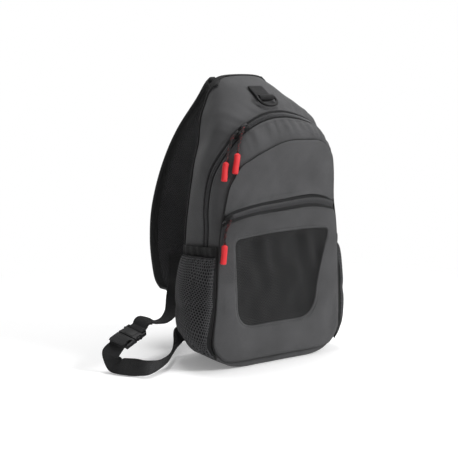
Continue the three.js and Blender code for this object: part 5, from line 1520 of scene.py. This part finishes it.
def strip(name, path, across, width=WEB_WIDTH, thickness=1.5 * MM, lowest=-1.0):
    """Webbing along a path: a wall of even thickness, with its middle on the path and no point under lowest."""
    shares = np.array([-0.5, -0.485, -0.45, -0.3, -0.15, 0, 0.15, 0.3, 0.45, 0.485, 0.5])
    across = np.broadcast_to(np.asarray(across, float), path.shape)
    grid = path[:, None] + across[:, None] * (shares * width)[None, :, None]
    grid[..., 2] = np.maximum(grid[..., 2], lowest)
    normals = grid_normals(grid, False)
    thin = np.array([0.25, 0.7, 1, 1, 1, 1, 1, 1, 1, 0.7, 0.25]) * thickness / 2
    top, low = grid + normals * thin[None, :, None], grid - normals * thin[None, :, None]
    rings = np.concatenate([top, low[:, ::-1]], axis=1)
    count = rings.shape[1]
    faces = ring_faces(len(path), count)
    faces += [tuple(range(count)), tuple((len(path) - 1) * count + j for j in range(count))]
    u = np.concatenate([shares * width, shares[::-1] * width])
    uvs = np.stack(np.broadcast_arrays(u[None, :], lengths_along(path)[:, None]), axis=-1).reshape(-1, 2)
    return outward(build_mesh(name, rings.reshape(-1, 3), faces, uvs)), grid, normals


tab_world = tab_seat + tab_path[:, :1] * tab_along + tab_path[:, 1:] * tab_out
finish(strip("ring_tab", tab_world, tab_across)[0], "black_cloth", WEBBING, "d_ring_tab")


def stitched_box(name, centre, across, along, up, half_a, half_b):
    """Box stitching, as on sewn webbing: a rectangle with a cross in it."""
    corners = np.array([(-half_a, -half_b), (half_a, -half_b), (half_a, half_b), (-half_a, half_b)])
    parts = []
    for first, last in ((0, 1), (1, 2), (2, 3), (3, 0), (0, 2), (1, 3)):
        flat = corners[first] + (corners[last] - corners[first]) * np.linspace(0, 1, 8)[:, None]
        path = centre + across * flat[:, :1] + along * flat[:, 1:]
        parts.append(stitches("box", path, np.tile(up, (8, 1)), pitch=2.8 * MM, length=2.1 * MM))
    finish(joined(parts, name), "black_cloth", THREAD_DARK)


stitched_box("ring_tab_stitching", tab_seat - tab_along * 4 * MM + tab_out * 3.7 * MM, tab_across, tab_along,
             tab_out, 9.5 * MM, 8.5 * MM)
print("ring and tab made")

# %% [markdown]
# The belt is one webbing in two parts. Each is a strip along a smooth line, with its own direction across at
# each station, because webbing twists but doesn't stretch. The upper part is sewn on the strap's end and folds
# round the bar of the buckle. The lower part runs through the ladder, turns over on the floor and comes back.

# %% Belt lines
SCALE = np.array([HALF_WIDTH, DEPTH, HEIGHT])
buckle_start = np.array([-1.678, 0.368, 0.1281]) * SCALE
buckle_end = np.array([-2.0205, 0.2475, 0.0985]) * SCALE
buckle_along = unit(buckle_end - buckle_start)
buckle_across = np.array([0.375, -0.898, -0.2335])
buckle_across = unit(buckle_across - buckle_along * np.dot(buckle_across, buckle_along))
buckle_up = np.cross(buckle_across, buckle_along)
BUCKLE_LENGTH = 42 * MM
BELT_STOP, LADDER_STOP = 1.9 * MM, 1.1 * MM
# Columns of both tables: the x, y and z shares of a point, then the direction across the webbing there.
UPPER_BELT = np.array([
    [-0.93, 0.73, 0.165, 0.5, -0.86, -0.05],
    [-1.03, 0.65, 0.143, 0.29, -0.96, 0.0],
    [-1.17, 0.57, 0.1315, -0.01, -1.0, -0.01],
    [-1.308, 0.532, 0.1328, -0.28, -0.96, 0.06],
    [-1.41, 0.492, 0.143, -0.33, -0.94, -0.06],
    [-1.493, 0.454, 0.1496, -0.14, -0.96, -0.23],
    [-1.562, 0.415, 0.1535, 0.13, -0.93, -0.35],
    [-1.615, 0.39, 0.148, 0.33, -0.88, -0.34],
])
LOWER_BELT = np.array([
    [-2.143, 0.243, 0.0692, 0.73, -0.59, -0.335],
    [-2.118, 0.248, 0.0455, 0.85, -0.49, 0.2],
    [-2.1, 0.2, 0.0285, 0.66, -0.4, 0.63],
    [-2.075, 0.125, 0.0285, 0.55, -0.1, 0.83],
    [-1.997, -0.014, 0.0295, 0.46, 0.12, 0.88],
    [-1.912, -0.171, 0.0315, 0.02, -0.23, 0.97],
    [-1.807, -0.207, 0.0301, -0.12, -0.36, 0.92],
    [-1.615, -0.099, 0.0255, -0.25, -0.59, 0.77],
    [-1.433, -0.001, 0.032, -0.39, -0.69, 0.6],
    [-1.207, 0.257, 0.034, -0.47, -0.75, 0.45],
    [-1.087, 0.383, 0.0494, -0.56, -0.6, 0.57],
    [-0.995, 0.463, 0.0745, -0.6, 0.0, 0.8],
])


def strap_station(coarse_index):
    return int(round(coarse_index * FINE_STEPS / STRAP_STEPS))


last = len(coarse_line) - 1
patch_points, patch_across = [], []
for coarse_index in (last - 5, last - 3, last - 1):
    k = min(strap_station(coarse_index), len(fine_line) - 1)
    inner = -1 if strap_out[k][1] > 0 else 1
    patch_points.append(fine_line[k] + strap_out[k] * inner * (STRAP_THICKNESS / 2 + WEB_THICK / 2 + GAP))
    patch_across.append(strap_across[k])
upper_points = np.array([*patch_points, *UPPER_BELT[:, :3] * SCALE, buckle_start - buckle_along * BELT_STOP])
upper_turns = np.array([*patch_across, *unit(UPPER_BELT[:, 3:]), buckle_across])
sewn_end = LOWER_BELT[-1, :3] * SCALE + np.array([7.2, 0.6, 5.4]) * MM
ladder_end = buckle_start + buckle_along * (BUCKLE_LENGTH + LADDER_STOP)
lower_points = np.array([ladder_end, *LOWER_BELT[:, :3] * SCALE, sewn_end])
lower_turns = np.array([buckle_across, *unit(LOWER_BELT[:, 3:]), unit(LOWER_BELT[-1, 3:])])
belts = {}
for label, points, turns in (("upper", upper_points, upper_turns), ("lower", lower_points, lower_turns)):
    obj, *belts[label] = strip(f"belt_{label}", catmull(points, 8), unit(catmull(turns, 8)),
                               thickness=WEB_THICK, lowest=0.9 * MM)
    finish(obj, "black_cloth", WEBBING, f"webbing_{label}")
for label, (grid, normals) in belts.items():
    lanes = []
    for j in (2, 8):
        for face in (-1, 1):
            lane = grid[:, j] + normals[:, j] * face * (WEB_THICK / 2 + 0.02 * MM)
            lanes.append(sweep("lane", lane, circle(0.28 * MM, 5), normals[:, j]))
    finish(joined(lanes, f"belt_{label}_selvage"), "black_cloth", BINDING)
patch_k = strap_station(last - 3)
patch_side = -1 if strap_out[patch_k][1] > 0 else 1
patch_centre = upper_points[1] + strap_out[patch_k] * patch_side * (WEB_THICK / 2 + 0.05 * MM)
stitched_box("belt_patch_stitching", patch_centre, strap_across[patch_k], tangents[patch_k],
             strap_out[patch_k] * patch_side, 10 * MM, 15 * MM)


def in_buckle(pairs):
    """Points of the buckle's frame, from millimetres along it and up off its middle."""
    return np.array([buckle_start + buckle_along * along * MM + buckle_up * up * MM for along, up in pairs])


FOLD_WIDTH = WEB_WIDTH - 0.6 * MM
fold = in_buckle([(-26, -1.9), (-16, -1.9), (-8, -2.2), (-2, -2.9), (2.6, -3.2), (5.2, -2.2), (5.9, 0), (5.2, 2.0),
                  (2.6, 2.6), (-0.5, 1.7), (-4.5, 0.4)])
near_belt, near_normals = (part[::-1, 5] for part in belts["upper"])
near_run = lengths_along(near_belt)
for row, reach in enumerate((26, 16, 8)):
    distance = reach * MM - BELT_STOP
    spot = np.array([np.interp(distance, near_run, near_belt[:, k]) for k in range(3)])
    normal_there = near_normals[int(np.searchsorted(near_run, distance))]
    down = -1 if normal_there[2] > 0 else 1
    fold[row] = spot + normal_there * down * 1.75 * MM
finish(strip("belt_fold_upper", catmull(fold, 6), buckle_across, FOLD_WIDTH)[0], "black_cloth", WEBBING)
ladder_path = in_buckle([(46.5, -0.8), (43, -3.4), (39, -4.4), (36.4, -3.0), (35.4, 0), (34.6, 2.8), (32.2, 4.0),
                         (29.8, 2.8), (29.0, 0), (28.6, -3.2), (31.0, -6.0), (36.0, -6.6), (42.0, -6.4),
                         (48.0, -6.0)])
finish(strip("belt_fold_lower", catmull(ladder_path, 6), buckle_across, FOLD_WIDTH)[0], "black_cloth", WEBBING)
print("belts made")

# %% [markdown]
# The buckle is the side-release kind. Its female half is a flat box with a waist, where the two prongs of the
# other half come out as ribbed press pads, and a bar at its end. Its male half ends in a ladder of three bars.

# %% Buckle
half_outline = [(13.6, 7.4), (16.4, 9.4), (16.4, 11.0), (14.0, 13.2), (14.0, 17.6), (15.6, 20.0), (15.9, 23.3)]
body_outline = [(-13.6, 7.4), *half_outline, *[(-x, y) for x, y in half_outline[:0:-1]]]
raised_plate = [(-9.4, 8.6), (9.4, 8.6), (8.2, 21.6), (-8.2, 21.6)]
female = [prism(body_outline, -4.2, 4.2, 1.1, 4), prism(raised_plate, 4.0, 4.75, 0.5),
          prism(raised_plate, -4.75, -4.0, 0.5),
          local_tube([(x, 1.7, 0) for x in (-14.6, -7, 0, 7, 14.6)], 1.65, 14, 1.1, (0, 0, 1))]
for sign in (-1, 1):
    female.append(rounded_box((sign * 14.9 - 1.7, sign * 14.9 + 1.6), (0.0, 9.6), (-2.6, 2.6), 0.9))
    female += [rounded_box((sign * 11.6 - 1.0, sign * 11.6 + 1.0), (10.4 + 2.2 * k, 11.4 + 2.2 * k), (3.9, 4.6),
                           0.3, 2) for k in range(3)]
buckle_matrix = frame_matrix(buckle_start, buckle_across, buckle_along)
female = placed(joined(female, "buckle_half_female"), buckle_matrix)
finish(female, "black_plastic", PLASTIC, "buckle_female")
# The raised top panel of the buckle is a lighter grey plastic.
panel = placed(prism([(-7.2, 10.0), (7.2, 10.0), (6.3, 20.2), (-6.3, 20.2)], 4.6, 4.95, 0.25), buckle_matrix)
panel.name = "buckle_panel"
finish(panel, "black_plastic", PLASTIC_LIGHTER)
male = []
for sign in (-1, 1):
    male.append(rounded_box((sign * 14.6 - 1.9, sign * 14.6 + 1.9), (23.6, 41.8), (-3.1, 3.1), 0.9))
    male.append(rounded_box((sign * 15.0 - 1.2, sign * 15.0 + 1.35), (12.6, 19.0), (-2.6, 2.6), 0.9))
    male += [rounded_box((sign * 16.2 - 0.5, sign * 16.2 + 0.5), (13.4 + 1.8 * k, 14.2 + 1.8 * k), (-2.2, 2.2),
                         0.25, 2) for k in range(3)]
male.append(rounded_box((-14.8, 14.8), (23.6, 27.2), (-3.4, 3.4), 0.8))
male.append(rounded_box((-14.8, 14.8), (30.9, 33.5), (-2.0, 2.2), 0.9))
male.append(rounded_box((-14.8, 14.8), (37.4, 41.8), (-2.6, 2.6), 1.0))
male += [rounded_box((-11.5, 11.5), (38.2 + 0.95 * k, 38.7 + 0.95 * k), (2.3, 2.95), 0.2, 2) for k in range(4)]
male = placed(joined(male, "buckle_half_male"), buckle_matrix)
finish(male, "black_plastic", PLASTIC, "buckle_male")
print("buckle made")

# %% [markdown]
# Where the belt comes back to the bag, a doubled corner of webbing is sewn into the back seam.

# %% Corner tab
TAB_Y, TAB_THICK = BACK_Y + 3 * GAP, 3.2 * MM
corner_centre, corner_across = LOWER_BELT[-1, :3] * SCALE, unit(LOWER_BELT[-1, 3:])
loop = [corner_centre + corner_across * side * WEB_WIDTH + np.array([1.5, 0, 0.4]) * MM for side in (-0.5, 0.5)]
flat_loop = np.array([(p[0], p[2]) for p in [*loop, BACK[6], BACK[5], BACK[4]]])
corner = prism(flat_loop / MM, 0.0, TAB_THICK / MM, 0.8)
turn_up = Matrix(((1, 0, 0, 0), (0, 0, 1, TAB_Y), (0, 1, 0, 0), (0, 0, 0, 1)))
placed(corner, turn_up)
outward(corner)
corner.name = "corner_tab_webbing"
finish(corner, "black_cloth", WEBBING, "corner_tab")
middle = flat_loop.mean(axis=0)
inset = middle + (flat_loop - middle) * 0.78
sides = []
for a, b in zip(inset, np.roll(inset, -1, axis=0)):
    seam = a + (b - a) * np.linspace(0, 1, 6)[:, None]
    path = np.stack([seam[:, 0], np.full(6, TAB_Y + TAB_THICK + 0.05 * MM), seam[:, 1]], axis=1)
    sides.append(stitches("corner_stitch", path, -facing(path), pitch=2.8 * MM))
finish(joined(sides, "corner_tab_stitching"), "black_cloth", THREAD_DARK)
print("corner tab made")


# %% [markdown]
# The last step prints how many pieces were made.

# %% Finish
print("pieces:", len(DONE))
